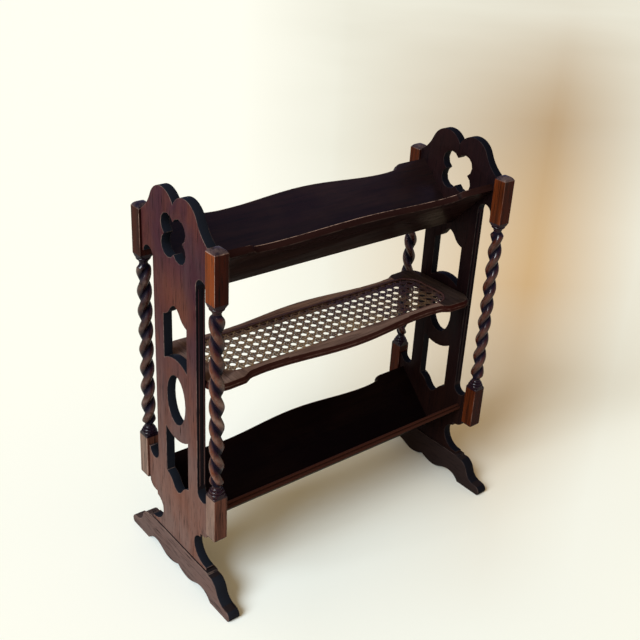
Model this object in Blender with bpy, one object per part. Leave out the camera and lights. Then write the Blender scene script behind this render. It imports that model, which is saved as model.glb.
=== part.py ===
"""Canterbury bookcase with two V troughs, a caned shelf and four barley-twist posts.

Metres, +Z up, X along the troughs, -Y the front. The origin is on the floor, midway
between the feet. Every piece is a solid of its own.
"""
import math

import bmesh
import bpy
from mathutils import Matrix, Vector

# Fits
CLEAR = 0.0003              # gap between pieces that touch
OVERRUN = 0.004             # how far a cutter runs past the face it cuts

# Overall
SPAN = 0.5824               # between the inner faces of the end panels
PANEL_TOP = 0.7050          # top of the end panels, over the floor
PANEL_THICK = 0.0164
FOOT_TOP = 0.058            # height of the feet, where the end panels stand

# Posts, one turned piece each
POST_SIDE = 0.0250          # side of the square blocks
POST_OFFSET = 0.1073        # post axis from the middle plane, front and back
POST_LIFT = 0.0795          # foot of the post over the top of the foot
LOWER_BLOCK_LENGTH = 0.0860
UPPER_BLOCK_LENGTH = 0.0796
BLOCK_DROP = 0.0565         # top of the upper block under the panel's top
CAP_RISE = 0.0072           # cushion on top of a post
BLOCK_CHAMFER = 0.0062      # round at the foot of a post
LOWER_TURNING = 0.0208      # height of the shoulder and rings over the lower block
UPPER_TURNING = 0.0170      # height of the shoulder and rings under the upper block
NECK_RADIUS = 0.0070        # at each end of the twist
TURN_LENGTH = 0.0722        # along the post, one full turn of a strand
STRAND_RADIUS = 0.0077
STRAND_OFFSET = 0.0047      # strand centre from the post axis
TWIST_RUN_IN = 0.0090       # length over which a strand grows out of the neck
SECTION_POINTS = 12
STEP_ANGLE = 2 * math.pi / SECTION_POINTS

POST_BOTTOM = FOOT_TOP + POST_LIFT
LOWER_BLOCK_TOP = POST_BOTTOM + LOWER_BLOCK_LENGTH
UPPER_BLOCK_TOP = PANEL_TOP - BLOCK_DROP
UPPER_BLOCK_BOTTOM = UPPER_BLOCK_TOP - UPPER_BLOCK_LENGTH
PANEL_PLACE = (SPAN + PANEL_THICK) / 2
BLOCK_FACE = POST_OFFSET - POST_SIDE / 2
EAR_END = BLOCK_FACE - CLEAR

# Trough boards, at right angles to each other
BOARD_THICK = 0.0120
HOUSING_DEPTH = 0.0040      # how deep the boards' ends sit in the end panels
BOARD_MARGIN = 0.0022       # from the widest corner of a trough to the end of the ear
UPPER_TROUGH_DROP = 0.0137  # top of the upper trough under the block's top
LOWER_TROUGH_LIFT = 0.0230  # bottom of the lower trough over the top of the foot
MID_DROP = 0.0020           # measures of the wave in the top edges, down the slope
FRONT_DIP = 0.0140
BACK_DIP = 0.0115
LIP_DROP = 0.0103
SHOULDER_LENGTH = 0.0592    # straight end of the wave, from the end panel
SHOULDER_RUN = 0.0180       # length of the step down from it
DIP_SHARE = 0.604           # place of the lowest point, as a share of half the span
REED_GROOVE = 0.0018        # depth of the groove between the two reeds of the lip

BOARD_END_WIDTH = (EAR_END - BOARD_MARGIN) * math.sqrt(2)
TROUGH_HEIGHT = (BOARD_END_WIDTH + BOARD_THICK) / math.sqrt(2)
UPPER_TROUGH_BOTTOM = UPPER_BLOCK_TOP - UPPER_TROUGH_DROP - TROUGH_HEIGHT
LOWER_TROUGH_BOTTOM = FOOT_TOP + LOWER_TROUGH_LIFT
BOARD_MID_WIDTH = BOARD_END_WIDTH - MID_DROP
LIP_WIDTH = BOARD_END_WIDTH - LIP_DROP
SHOULDER_OUTER = SPAN / 2 - SHOULDER_LENGTH
SHOULDER_INNER = SHOULDER_OUTER - SHOULDER_RUN
DIP_PLACE = SPAN / 2 * DIP_SHARE

# End panel: half widths from the middle plane
PANEL_HALF = 0.0625
LOBE_RADIUS = 0.0368
LOBE_OFFSET = 0.883 * LOBE_RADIUS
EAR_RISE = 0.0022           # ear's top corner above the flat of the post's block
EAR_TIP = 0.0030            # flat left at the end of an ear's hollow
UPPER_EAR_LENGTH = 0.0540   # from the block's top down to the hollow
HOLLOW_MARGIN = 0.0124      # hollow of the lower ear over the lower trough's top
EAR_ROUND_LIFT = 0.0040     # where the lower ear starts to curve in, over the post's foot
EAR_ROUND_DROP = 0.0165
EAR_ROUND_RUN = 0.0176
STEP_HALF = 0.0705
STEP_DROP = 0.0066
WAIST_HALF = 0.0510
WAIST_LIFT = 0.0390         # over the top of the foot
FLARE_HALF = 0.0880
FLARE_EDGE = 0.0045         # height of the thin edge at the end of the flare

HOLLOW_RADIUS = (EAR_END - EAR_TIP - PANEL_HALF) / 2
UPPER_HOLLOW_TOP = UPPER_BLOCK_TOP - UPPER_EAR_LENGTH
LOWER_HOLLOW_BOTTOM = LOWER_TROUGH_BOTTOM + TROUGH_HEIGHT + HOLLOW_MARGIN
EAR_ROUND_TOP = POST_BOTTOM + EAR_ROUND_LIFT
EAR_BOTTOM = EAR_ROUND_TOP - EAR_ROUND_DROP
STEP_BOTTOM = EAR_BOTTOM - STEP_DROP
WAIST_HEIGHT = FOOT_TOP + WAIST_LIFT

# Openings of the end panel. The oval lies midway between the two windows.
QUATREFOIL_DROP = 0.0725    # its centre under the panel's top
FOIL_RADIUS = 0.0190
FOIL_OFFSET = 0.868 * FOIL_RADIUS
WINDOW_HALF = 0.0345
UPPER_WINDOW_GAP = 0.0132   # its apex under the upper trough
UPPER_WINDOW_LENGTH = 0.1060
LOWER_WINDOW_LIFT = 0.0845  # its apex over the bottom of the lower trough
LOWER_WINDOW_LENGTH = 0.1195
OGEE_DEPTH = 0.0265         # apex to shoulder
OGEE_BEND_HALF = 0.0140     # where the curve of the ogee turns
OGEE_BEND_DEPTH = 0.0110
SILL_RISE = 0.0110          # bow of the window's flat end
OVAL_HALF = 0.0280
OVAL_BAND = 0.0300          # wood left between the oval and each window

QUATREFOIL_HEIGHT = PANEL_TOP - QUATREFOIL_DROP
UPPER_WINDOW_APEX = UPPER_TROUGH_BOTTOM - UPPER_WINDOW_GAP
UPPER_WINDOW_SILL = UPPER_WINDOW_APEX - UPPER_WINDOW_LENGTH
LOWER_WINDOW_APEX = LOWER_TROUGH_BOTTOM + LOWER_WINDOW_LIFT
LOWER_WINDOW_HEAD = LOWER_WINDOW_APEX + LOWER_WINDOW_LENGTH
OVAL_HEIGHT = (UPPER_WINDOW_SILL + LOWER_WINDOW_HEAD) / 2
OVAL_HALF_HEIGHT = UPPER_WINDOW_SILL + SILL_RISE - OVAL_BAND - OVAL_HEIGHT

# Stopped flutes in the front and back edges of an end panel
FLUTE_RADIUS = 0.0019
FLUTE_SPACING = 0.0086
FLUTE_STOP = 0.0060         # end of a flute from the ear's hollow

# Feet
FOOT_THICK = 0.0220
FOOT_HALF = 0.1623
FOOT_LEDGE = 0.0080         # flat top left outside the flare of the panel
FOOT_STEP = 0.0030          # down to the bead
FOOT_BEAD = 0.0110          # width of the bead
TOE_TOP_RUN = 0.0123        # from the tip back to the flat of the toe
TOE_TOP_HEIGHT = 0.0180
TOE_HEIGHT = 0.0080         # height of the toe's nose
OGEE_TURN_SHARES = (0.395, 0.49)    # along and down, between the bead and the toe
PAD_SET = 0.0033            # from the tip back to the pad under the toe
PAD_LENGTH = 0.0560
ARCH_SHARE = 0.73           # crown of the arch, as a share of the pad's inner end
DROP_SHARE = 0.31           # lowest point of the middle, as a share of the same
ARCH_HEIGHT = 0.0140
DROP_HEIGHT = 0.0015
NOTCH_HEIGHT = 0.0100

FOOT_LEDGE_HALF = FLARE_HALF + FOOT_LEDGE
FOOT_BEAD_HALF = FOOT_LEDGE_HALF + FOOT_BEAD
FOOT_BEAD_HEIGHT = FOOT_TOP - FOOT_STEP
TOE_TOP_HALF = FOOT_HALF - TOE_TOP_RUN
PAD_TOE_HALF = FOOT_HALF - PAD_SET
PAD_HEEL_HALF = PAD_TOE_HALF - PAD_LENGTH
ARCH_HALF = PAD_HEEL_HALF * ARCH_SHARE
DROP_HALF = PAD_HEEL_HALF * DROP_SHARE

# Tenons under an end panel, in the foot
FOOT_TENON_INNER = 0.0180
FOOT_TENON_OUTER = 0.0460
FOOT_TENON_THICK = 0.0080
FOOT_TENON_DEPTH = 0.0160

# Middle shelf
SHELF_UNDER_SILL = 0.0050   # shelf's top under the ends of the window's sill
SHELF_THICK = 0.0130
SHELF_MID_HALF = 0.0870
SHELF_DIP = 0.0145          # how far the waves of its edge come in
SHELF_END_DROP = 0.0015
SHELF_DIP_SHARE = 0.619     # place of the wave's dip, as a share of half the span
SHELF_END_LENGTH = 0.0572   # straight end of the edge, with its corner
SHELF_STEP_RUN = 0.0260     # length of the step down from it
SHELF_STEP_FALL = 0.0110
SHELF_CORNER = 0.0300
EDGE_ROUND = 0.0042         # thumb moulding on the shelf's edge
EDGE_ROUND_HEIGHT = 0.0055
EDGE_UNDER = 0.0018
JOINT_SETBACK = 0.0722      # joint of long and end rails, from the end panel
CANE_END_BORDER = 0.0342    # wood round the cane at the ends
RAIL_WIDTH = 0.0125         # wood beside the cane where the rails are narrowest
CANE_CORNER = 0.0360
REBATE_WIDTH = 0.0060
REBATE_DEPTH = 0.0042
CANE_THICK = 0.0016
CANE_SPACING = 0.0176       # between the gaps of the weave, both ways
CANE_COLUMN_SHIFT = 0.0073  # the weave isn't centred in its frame
CANE_ROW_SHIFT = 0.0003
CANE_GAP = 0.0110           # across the flats of a gap in the weave
CANE_BORDER = 0.0010        # plain weave inside the spline
SMALLEST_GAP_SHARE = 0.35   # gaps cut shorter than this by the border are left closed
SPLINE_WIDTH = 0.0030
RAIL_TENON_LENGTH = 0.0100
RAIL_TENON_WIDTH = 0.0080
RAIL_TENON_WALL = 0.0025    # between the tenon and the rebate of the cane
RAIL_TENON_BOTTOM = 0.0030  # above the shelf's underside
RAIL_TENON_THICK = 0.0045
SHELF_TENON_INNER = 0.0140
SHELF_TENON_OUTER = 0.0360
SHELF_TENON_DEPTH = 0.0065
SHELF_TENON_BOTTOM = 0.0030
SHELF_TENON_THICK = 0.0060

SHELF_TOP = UPPER_WINDOW_SILL - SHELF_UNDER_SILL
SHELF_BOTTOM = SHELF_TOP - SHELF_THICK
SHELF_DIP_HALF = SHELF_MID_HALF - SHELF_DIP
SHELF_END_HALF = SHELF_MID_HALF - SHELF_END_DROP
SHELF_DIP_PLACE = SPAN / 2 * SHELF_DIP_SHARE
SHELF_STEP_OUTER = SPAN / 2 - SHELF_END_LENGTH
SHELF_STEP_INNER = SHELF_STEP_OUTER - SHELF_STEP_RUN
RAIL_JOINT = SPAN / 2 - JOINT_SETBACK
CANE_HALF_LENGTH = SPAN / 2 - CANE_END_BORDER
CANE_HALF_WIDTH = SHELF_DIP_HALF - RAIL_WIDTH
CANE_LOW = SHELF_TOP - REBATE_DEPTH + CLEAR
CANE_HIGH = CANE_LOW + CANE_THICK
RAIL_TENON_INNER = CANE_HALF_WIDTH + RAIL_TENON_WALL
RAIL_TENON_OUTER = RAIL_TENON_INNER + RAIL_TENON_WIDTH

# Dowels between ears and blocks
DOWEL_RADIUS = 0.0030
DOWEL_DEPTH = 0.0090        # in each of the two pieces
DOWEL_SIDES = 8
DOWEL_SHARE = 0.6           # place on the ear, from its hollow towards its far end

UPPER_DOWEL_HEIGHT = UPPER_HOLLOW_TOP + DOWEL_SHARE * (UPPER_BLOCK_TOP - UPPER_HOLLOW_TOP)
LOWER_DOWEL_HEIGHT = LOWER_HOLLOW_BOTTOM + DOWEL_SHARE * (EAR_ROUND_TOP - LOWER_HOLLOW_BOTTOM)

# Headings on an outline
RIGHT = 0
UP = math.pi / 2
LEFT = math.pi
DOWN = -math.pi / 2


def arc(centre, radius, start, end, count):
    """Points on a circle from the angle start to the angle end, both included."""
    return [(centre[0] + radius * math.cos(start + (end - start) * i / count),
             centre[1] + radius * math.sin(start + (end - start) * i / count))
            for i in range(count + 1)]


def bend(start, heading, end, count):
    """Arc that leaves start along heading and reaches end: its points after start, and its last heading."""
    across = (end[0] - start[0], end[1] - start[1])
    chord = math.hypot(*across)
    turn = 2 * math.remainder(math.atan2(across[1], across[0]) - heading, 2 * math.pi)
    radius = chord / (2 * math.sin(turn / 2))
    centre = (start[0] - radius * math.sin(heading), start[1] + radius * math.cos(heading))
    points = []
    for i in range(1, count + 1):
        angle = heading + turn * i / count
        points.append((centre[0] + radius * math.sin(angle), centre[1] - radius * math.cos(angle)))
    return points, heading + turn


def mirrored(half):
    """Close an outline whose half runs from the middle line round to the middle line."""
    other = [(-u, v) for u, v in reversed(half) if abs(u) > CLEAR / 10]
    return half + other


def fill(bm, loops):
    """Flat face of triangles in the XY plane, the first loop outside, the others holes."""
    edges = []
    for loop in loops:
        corners = [bm.verts.new((u, v, 0)) for u, v in loop]
        edges += [bm.edges.new((a, b)) for a, b in zip(corners, corners[1:] + corners[:1])]
    bmesh.ops.triangle_fill(bm, use_beauty=True, use_dissolve=False, edges=edges)
    return bm.faces[:]


def plate(loops, thickness):
    """Board of the given outline, its holes cut, centred on the XY plane."""
    bm = bmesh.new()
    faces = fill(bm, loops)
    grown = bmesh.ops.extrude_face_region(bm, geom=faces)["geom"]
    top = [item for item in grown if isinstance(item, bmesh.types.BMVert)]
    bmesh.ops.translate(bm, verts=top, vec=(0, 0, thickness))
    bmesh.ops.translate(bm, verts=bm.verts, vec=(0, 0, -thickness / 2))
    bmesh.ops.recalc_face_normals(bm, faces=bm.faces)
    return bm


def upright(bm):
    """Turn a plate so that its outline lies in the YZ plane and its thickness along X."""
    turn = Matrix(((0, 0, 1), (1, 0, 0), (0, 1, 0))).to_4x4()
    bmesh.ops.transform(bm, matrix=turn, verts=bm.verts)
    return bm


def loft(rings, hand=-1):
    """Closed solid of triangles through rings of points, with flat ends.

    hand says which way the rings turn, so that each pair of triangles meets on its short diagonal.
    """
    bm = bmesh.new()
    rows = [[bm.verts.new(point) for point in ring] for ring in rings]
    for low, high in zip(rows, rows[1:]):
        for i in range(len(low)):
            j = (i + 1) % len(low)
            if hand > 0:
                bm.faces.new((low[i], low[j], high[i]))
                bm.faces.new((low[j], high[j], high[i]))
            else:
                bm.faces.new((low[i], low[j], high[j]))
                bm.faces.new((low[i], high[j], high[i]))
    bm.faces.new(reversed(rows[0]))
    bm.faces.new(rows[-1])
    bmesh.ops.recalc_face_normals(bm, faces=bm.faces)
    return bm


def circle(radius, height, sides, phase=0.0):
    return [Vector((radius * math.cos(phase + 2 * math.pi * i / sides),
                    radius * math.sin(phase + 2 * math.pi * i / sides), height))
            for i in range(sides)]


def box(low, high):
    """Solid between two opposite corners."""
    bm = bmesh.new()
    bmesh.ops.create_cube(bm, size=1)
    size = [b - a for a, b in zip(low, high)]
    middle = [(a + b) / 2 for a, b in zip(low, high)]
    bmesh.ops.scale(bm, vec=size, verts=bm.verts)
    bmesh.ops.translate(bm, vec=middle, verts=bm.verts)
    return bm


def clear_scene():
    for thing in list(bpy.data.objects):
        bpy.data.objects.remove(thing, do_unlink=True)


def material(name, colour, roughness):
    made = bpy.data.materials.new(name)
    made.use_nodes = True
    shader = made.node_tree.nodes["Principled BSDF"]
    shader.inputs["Base Color"].default_value = (*colour, 1)
    shader.inputs["Roughness"].default_value = roughness
    shader.inputs["Metallic"].default_value = 0
    return made


def piece(name, bm, finish, place=(0, 0, 0)):
    """Make a named object from a bmesh and put it in its place."""
    mesh = bpy.data.meshes.new(name)
    bm.to_mesh(mesh)
    bm.free()
    thing = bpy.data.objects.new(name, mesh)
    thing.location = place
    bpy.context.scene.collection.objects.link(thing)
    if finish is not None:
        mesh.materials.append(material(name + "_finish", *finish))
    return thing


def cutter(name, bm, place=(0, 0, 0)):
    """A shape that only cuts or joins: it isn't part of the object."""
    thing = piece(name, bm, None, place)
    thing.hide_render = True
    thing.display_type = 'WIRE'
    return thing


def combine(thing, tool, operation):
    step = thing.modifiers.new(tool.name, 'BOOLEAN')
    step.operation = operation
    step.solver = 'EXACT'
    step.object = tool


def tidy_shading(thing, angle=math.radians(35)):
    thing.data.shade_smooth()
    thing.data.set_sharp_from_angle(angle=angle)


# Finishes: colour and roughness
POLISH_ROUGHNESS = 0.36
SATIN_ROUGHNESS = 0.45
BARE_ROUGHNESS = 0.60
PANEL_WOOD = ((0.115, 0.062, 0.048), POLISH_ROUGHNESS)
POST_WOOD = ((0.100, 0.040, 0.024), POLISH_ROUGHNESS)
BOARD_WOOD = ((0.052, 0.026, 0.022), POLISH_ROUGHNESS)
SHELF_WOOD = ((0.105, 0.060, 0.042), SATIN_ROUGHNESS)
CANE_FIBRE = ((0.330, 0.190, 0.085), SATIN_ROUGHNESS)
DOWEL_WOOD = ((0.420, 0.290, 0.170), BARE_ROUGHNESS)


def ogee(apex, depth, point_down):
    """Half of a window's ogee end, from the apex on the middle line to the shoulder."""
    sign = -1 if point_down else 1
    top = (0, apex)
    turn = (OGEE_BEND_HALF, apex - sign * OGEE_BEND_DEPTH)
    shoulder = (WINDOW_HALF, apex - sign * depth)
    first, heading = bend(top, -sign * math.radians(16), turn, 3)
    second, _ = bend(turn, heading, shoulder, 4)
    return [top] + first + second


def window(apex, flat_end, point_down):
    """Opening with an ogee end at the apex and a bowed flat end."""
    sign = -1 if point_down else 1
    half = ogee(apex, OGEE_DEPTH, point_down)
    corner = (WINDOW_HALF, flat_end)
    radius = (WINDOW_HALF ** 2 + SILL_RISE ** 2) / (2 * SILL_RISE)
    lean = math.asin(WINDOW_HALF / radius)
    bow, _ = bend(corner, LEFT - sign * lean, (0, flat_end + sign * SILL_RISE), 4)
    return mirrored(half + [corner] + bow)


def quatrefoil():
    reach = math.sqrt(FOIL_RADIUS ** 2 - FOIL_OFFSET ** 2)
    lean = math.atan2(reach, FOIL_OFFSET)
    points = []
    for quarter in range(4):
        middle = math.pi / 4 + quarter * math.pi / 2
        centre = (math.sqrt(2) * FOIL_OFFSET * math.cos(middle),
                  QUATREFOIL_HEIGHT + math.sqrt(2) * FOIL_OFFSET * math.sin(middle))
        half_sweep = math.pi * 3 / 4 - lean
        points += arc(centre, FOIL_RADIUS, middle - half_sweep, middle + half_sweep, 7)[:-1]
    return points


def oval():
    return [(OVAL_HALF * math.cos(2 * math.pi * i / 24),
             OVAL_HEIGHT + OVAL_HALF_HEIGHT * math.sin(2 * math.pi * i / 24)) for i in range(24)]


def panel_outline():
    """Outline of an end panel, half of it drawn from the cusp at the top down to the foot."""
    lobe = (LOBE_OFFSET, PANEL_TOP - LOBE_RADIUS)
    cusp = math.pi - math.acos(LOBE_OFFSET / LOBE_RADIUS)
    lobe_end = math.radians(24)
    half = arc(lobe, LOBE_RADIUS, cusp, lobe_end, 13)
    half[0] = (0, half[0][1])
    shoulder, _ = bend(half[-1], lobe_end - UP, (EAR_END, UPPER_BLOCK_TOP + EAR_RISE), 5)
    half += shoulder
    upper = UPPER_HOLLOW_TOP - HOLLOW_RADIUS
    lower = LOWER_HOLLOW_BOTTOM + HOLLOW_RADIUS
    middle = PANEL_HALF + HOLLOW_RADIUS
    half += [(EAR_END, upper)] + arc((middle, upper), HOLLOW_RADIUS, RIGHT, LEFT, 8)
    half += arc((middle, lower), HOLLOW_RADIUS, LEFT, 2 * math.pi, 8) + [(EAR_END, lower)]
    half.append((EAR_END, EAR_ROUND_TOP))
    under_ear, _ = bend(half[-1], DOWN, (EAR_END - EAR_ROUND_RUN, EAR_BOTTOM), 4)
    half += under_ear + [(STEP_HALF, EAR_BOTTOM), (STEP_HALF, STEP_BOTTOM)]
    cove_chord = math.atan2(WAIST_HEIGHT - STEP_BOTTOM, WAIST_HALF - STEP_HALF)
    cove, heading = bend(half[-1], 2 * cove_chord - DOWN, (WAIST_HALF, WAIST_HEIGHT), 4)
    half += cove
    flare, _ = bend(half[-1], DOWN, (FLARE_HALF, FOOT_TOP + CLEAR + FLARE_EDGE), 6)
    half += flare + [(FLARE_HALF, FOOT_TOP + CLEAR), (0, FOOT_TOP + CLEAR)]
    return mirrored(half)


def chevron(bottom, front_width, back_width, grow=0.0):
    """Section of a V trough, its arms at 45 degrees, made larger all round by grow."""
    slope = math.sqrt(0.5)
    low = bottom - grow / slope
    inner = bottom + (BOARD_THICK + grow) / slope

    def corner(side, width, off):
        run = (width + grow) * slope
        return (side * (run - off * slope), bottom + run + off * slope)
    return [(0, low), corner(1, back_width, -grow), corner(1, back_width, BOARD_THICK + grow),
            (0, inner), corner(-1, front_width, BOARD_THICK + grow), corner(-1, front_width, -grow)]


def end_panel(name, side):
    """Fretted end board. side is -1 at the left, 1 at the right."""
    loops = [panel_outline(), quatrefoil(),
             window(UPPER_WINDOW_APEX, UPPER_WINDOW_SILL, False), oval(),
             window(LOWER_WINDOW_APEX, LOWER_WINDOW_HEAD, True)]
    place = (side * PANEL_PLACE, 0, 0)
    panel = piece(name, upright(plate(loops, PANEL_THICK)), PANEL_WOOD, place)
    inner = -side * PANEL_THICK / 2

    for label, bottom, front in (("upper", UPPER_TROUGH_BOTTOM, BOARD_END_WIDTH),
                                 ("lower", LOWER_TROUGH_BOTTOM, LIP_WIDTH)):
        shape = chevron(bottom, front, BOARD_END_WIDTH, CLEAR)
        block = upright(plate([shape], HOUSING_DEPTH + OVERRUN))
        centre = inner + side * (HOUSING_DEPTH - OVERRUN) / 2
        bmesh.ops.translate(block, vec=(centre, 0, 0), verts=block.verts)
        combine(panel, cutter(name + "_housing_" + label, block, place), 'DIFFERENCE')

    for face in (-1, 1):
        ends = sorted((face * (SHELF_TENON_INNER - CLEAR), face * (SHELF_TENON_OUTER + CLEAR)))
        depth = sorted((inner - side * OVERRUN, inner + side * SHELF_TENON_DEPTH))
        low = SHELF_BOTTOM + SHELF_TENON_BOTTOM
        mortise = box((depth[0], ends[0], low - CLEAR),
                      (depth[1], ends[1], low + SHELF_TENON_THICK + CLEAR))
        combine(panel, cutter("%s_mortise_%d" % (name, face), mortise, place), 'DIFFERENCE')

        ends = sorted((face * FOOT_TENON_INNER, face * FOOT_TENON_OUTER))
        tenon = box((-FOOT_TENON_THICK / 2, ends[0], FOOT_TOP - FOOT_TENON_DEPTH),
                    (FOOT_TENON_THICK / 2, ends[1], FOOT_TOP + OVERRUN))
        combine(panel, cutter("%s_tenon_%d" % (name, face), tenon, place), 'UNION')

        for lane in (-1, 1):
            low = LOWER_HOLLOW_BOTTOM + HOLLOW_RADIUS + FLUTE_STOP
            high = UPPER_HOLLOW_TOP - HOLLOW_RADIUS - FLUTE_STOP
            tip = FLUTE_RADIUS / 3
            rod = loft([circle(tip, low, 8), circle(FLUTE_RADIUS, low + FLUTE_RADIUS, 8),
                        circle(FLUTE_RADIUS, high - FLUTE_RADIUS, 8), circle(tip, high, 8)])
            spot = (side * PANEL_PLACE + lane * FLUTE_SPACING / 2, face * PANEL_HALF, 0)
            combine(panel, cutter("%s_flute_%d_%d" % (name, face, lane), rod, spot), 'DIFFERENCE')

        for label, height in (("upper", UPPER_DOWEL_HEIGHT), ("lower", LOWER_DOWEL_HEIGHT)):
            hole = dowel_hole(face)
            spot = (side * PANEL_PLACE, face * BLOCK_FACE, height)
            combine(panel, cutter("%s_bore_%s_%d" % (name, label, face), hole, spot), 'DIFFERENCE')
    tidy_shading(panel)


def rod_along_y(radius, start, end, sides):
    """Straight rod along Y between two places on that axis."""
    bm = loft([circle(radius, start, sides, math.pi / sides), circle(radius, end, sides, math.pi / sides)])
    bmesh.ops.transform(bm, matrix=Matrix.Rotation(-math.pi / 2, 4, 'X'), verts=bm.verts)
    return bm


def dowel_hole(face):
    """Bore for a dowel, as deep in the ear as in the block, with room at each end."""
    reach = DOWEL_DEPTH + CLEAR
    return rod_along_y(DOWEL_RADIUS + CLEAR, -reach, reach, DOWEL_SIDES)


def dowels():
    for end, side in (("left", -1), ("right", 1)):
        for way, face in (("front", -1), ("back", 1)):
            for label, height in (("upper", UPPER_DOWEL_HEIGHT), ("lower", LOWER_DOWEL_HEIGHT)):
                rod = rod_along_y(DOWEL_RADIUS, -DOWEL_DEPTH, DOWEL_DEPTH, DOWEL_SIDES)
                place = (side * PANEL_PLACE, face * BLOCK_FACE, height)
                made = piece("dowel_%s_%s_%s" % (label, way, end), rod, DOWEL_WOOD, place)
                tidy_shading(made, math.radians(50))


def foot_outline():
    """Half of a foot's outline, from the middle of its top round the toe to the middle underneath."""
    half = [(0, FOOT_TOP), (FOOT_LEDGE_HALF, FOOT_TOP), (FOOT_LEDGE_HALF, FOOT_BEAD_HEIGHT),
            (FOOT_BEAD_HALF, FOOT_BEAD_HEIGHT)]
    along, down = OGEE_TURN_SHARES
    turn = (FOOT_BEAD_HALF + along * (TOE_TOP_HALF - FOOT_BEAD_HALF),
            FOOT_BEAD_HEIGHT - down * (FOOT_BEAD_HEIGHT - TOE_TOP_HEIGHT))
    knee, heading = bend(half[-1], math.radians(-18), turn, 4)
    instep, heading = bend(knee[-1], heading, (TOE_TOP_HALF, TOE_TOP_HEIGHT), 4)
    nose, heading = bend(instep[-1], heading, (FOOT_HALF, TOE_HEIGHT), 3)
    under, _ = bend(nose[-1], heading, (PAD_TOE_HALF, 0), 3)
    half += knee + instep + nose + under + [(PAD_HEEL_HALF, 0)]
    heel, _ = bend(half[-1], math.radians(125), (ARCH_HALF, ARCH_HEIGHT), 4)
    half += heel + wave((ARCH_HALF, ARCH_HEIGHT), (DROP_HALF, DROP_HEIGHT), 6)
    notch, _ = bend(half[-1], LEFT, (0, NOTCH_HEIGHT), 4)
    half += notch
    return mirrored(half)


def wave(start, end, count):
    """Smooth S curve from start to end, level at both, without its first point."""
    points = []
    for i in range(1, count + 1):
        along = i / count
        ease = (1 - math.cos(math.pi * along)) / 2
        points.append((start[0] + (end[0] - start[0]) * along, start[1] + (end[1] - start[1]) * ease))
    return points


def foot(name, side):
    place = (side * PANEL_PLACE, 0, 0)
    made = piece(name, upright(plate([foot_outline()], FOOT_THICK)), PANEL_WOOD, place)
    for face in (-1, 1):
        ends = sorted((face * (FOOT_TENON_INNER - CLEAR), face * (FOOT_TENON_OUTER + CLEAR)))
        thick = FOOT_TENON_THICK / 2 + CLEAR
        mortise = box((-thick, ends[0], FOOT_TOP - FOOT_TENON_DEPTH - CLEAR),
                      (thick, ends[1], FOOT_TOP + OVERRUN))
        combine(made, cutter("%s_mortise_%d" % (name, face), mortise, place), 'DIFFERENCE')
    tidy_shading(made)


def ring(reach, height, turned):
    """Ring of a post. reach gives the radius for an angle from the turned first point."""
    points = []
    for i in range(SECTION_POINTS):
        angle = turned + i * STEP_ANGLE
        points.append(Vector((reach(angle) * math.cos(angle), reach(angle) * math.sin(angle), height)))
    return points


def square_reach(half):
    return lambda angle: half / max(abs(math.cos(angle)), abs(math.sin(angle)))


def round_reach(radius):
    return lambda angle: radius


def shoulder_reach(half, radius):
    """Square whose corners are turned down to a radius."""
    return lambda angle: min(square_reach(half)(angle), radius)


def cushion_reach(half, power):
    """Square with round sides: a high power is nearly square, 2 is a circle."""
    return lambda angle: half / (abs(math.cos(angle)) ** power + abs(math.sin(angle)) ** power) ** (1 / power)


# Turned shoulder and rings, from the block towards the twist: share of the height, radius as a
# share of the block's half side. Above 1 only the corners of the block are turned.
LOWER_RING_SHARES = ((0.18, 1.30), (0.22, 1.18), (0.42, 1.10), (0.46, 1.00), (0.60, 0.94),
                     (0.66, 0.80), (0.80, 0.76), (0.86, 0.66))
UPPER_RING_SHARES = ((0.18, 1.24), (0.34, 1.12), (0.40, 0.98), (0.52, 1.02), (0.62, 0.96), (0.80, 0.70))
# Cushion on top of a post and round at its foot: share of the rise, share of the half side, power
CAP_SHARES = ((0.34, 0.95, 12), (0.62, 0.82, 7), (0.84, 0.62, 5), (1.00, 0.36, 4))
HEEL_SHARES = ((1.00, 0.56, 5), (0.62, 0.82, 8), (0.28, 0.95, 12))


def post_rings(hand, start_angle):
    """Rings of one post from its foot to its cap. hand is 1 for a right-hand twist."""
    half = POST_SIDE / 2
    low_turn = (math.floor(start_angle / STEP_ANGLE) + 0.5) * STEP_ANGLE
    start = LOWER_BLOCK_TOP + LOWER_TURNING
    end = UPPER_BLOCK_BOTTOM - UPPER_TURNING
    rows = round((end - start) / TURN_LENGTH * SECTION_POINTS)
    high_turn = low_turn + hand * rows * STEP_ANGLE

    rings = [ring(cushion_reach(width * half, power), POST_BOTTOM + (1 - drop) * BLOCK_CHAMFER, low_turn)
             for drop, width, power in HEEL_SHARES]
    rings.append(ring(square_reach(half), POST_BOTTOM + BLOCK_CHAMFER, low_turn))
    rings.append(ring(square_reach(half), LOWER_BLOCK_TOP, low_turn))
    for rise, width in LOWER_RING_SHARES:
        rings.append(ring(shoulder_reach(half, width * half), LOWER_BLOCK_TOP + rise * LOWER_TURNING,
                          low_turn))
    rings.append(ring(round_reach(NECK_RADIUS), start, low_turn))
    rings += twist(start, end, rows, hand, start_angle)
    rings.append(ring(round_reach(NECK_RADIUS), end, high_turn))
    for drop, width in reversed(UPPER_RING_SHARES):
        rings.append(ring(shoulder_reach(half, width * half), UPPER_BLOCK_BOTTOM - drop * UPPER_TURNING,
                          high_turn))
    rings.append(ring(square_reach(half), UPPER_BLOCK_BOTTOM, high_turn))
    rings.append(ring(square_reach(half), UPPER_BLOCK_TOP, high_turn))
    for rise, width, power in CAP_SHARES:
        rings.append(ring(cushion_reach(width * half, power), UPPER_BLOCK_TOP + rise * CAP_RISE, high_turn))
    return rings


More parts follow.
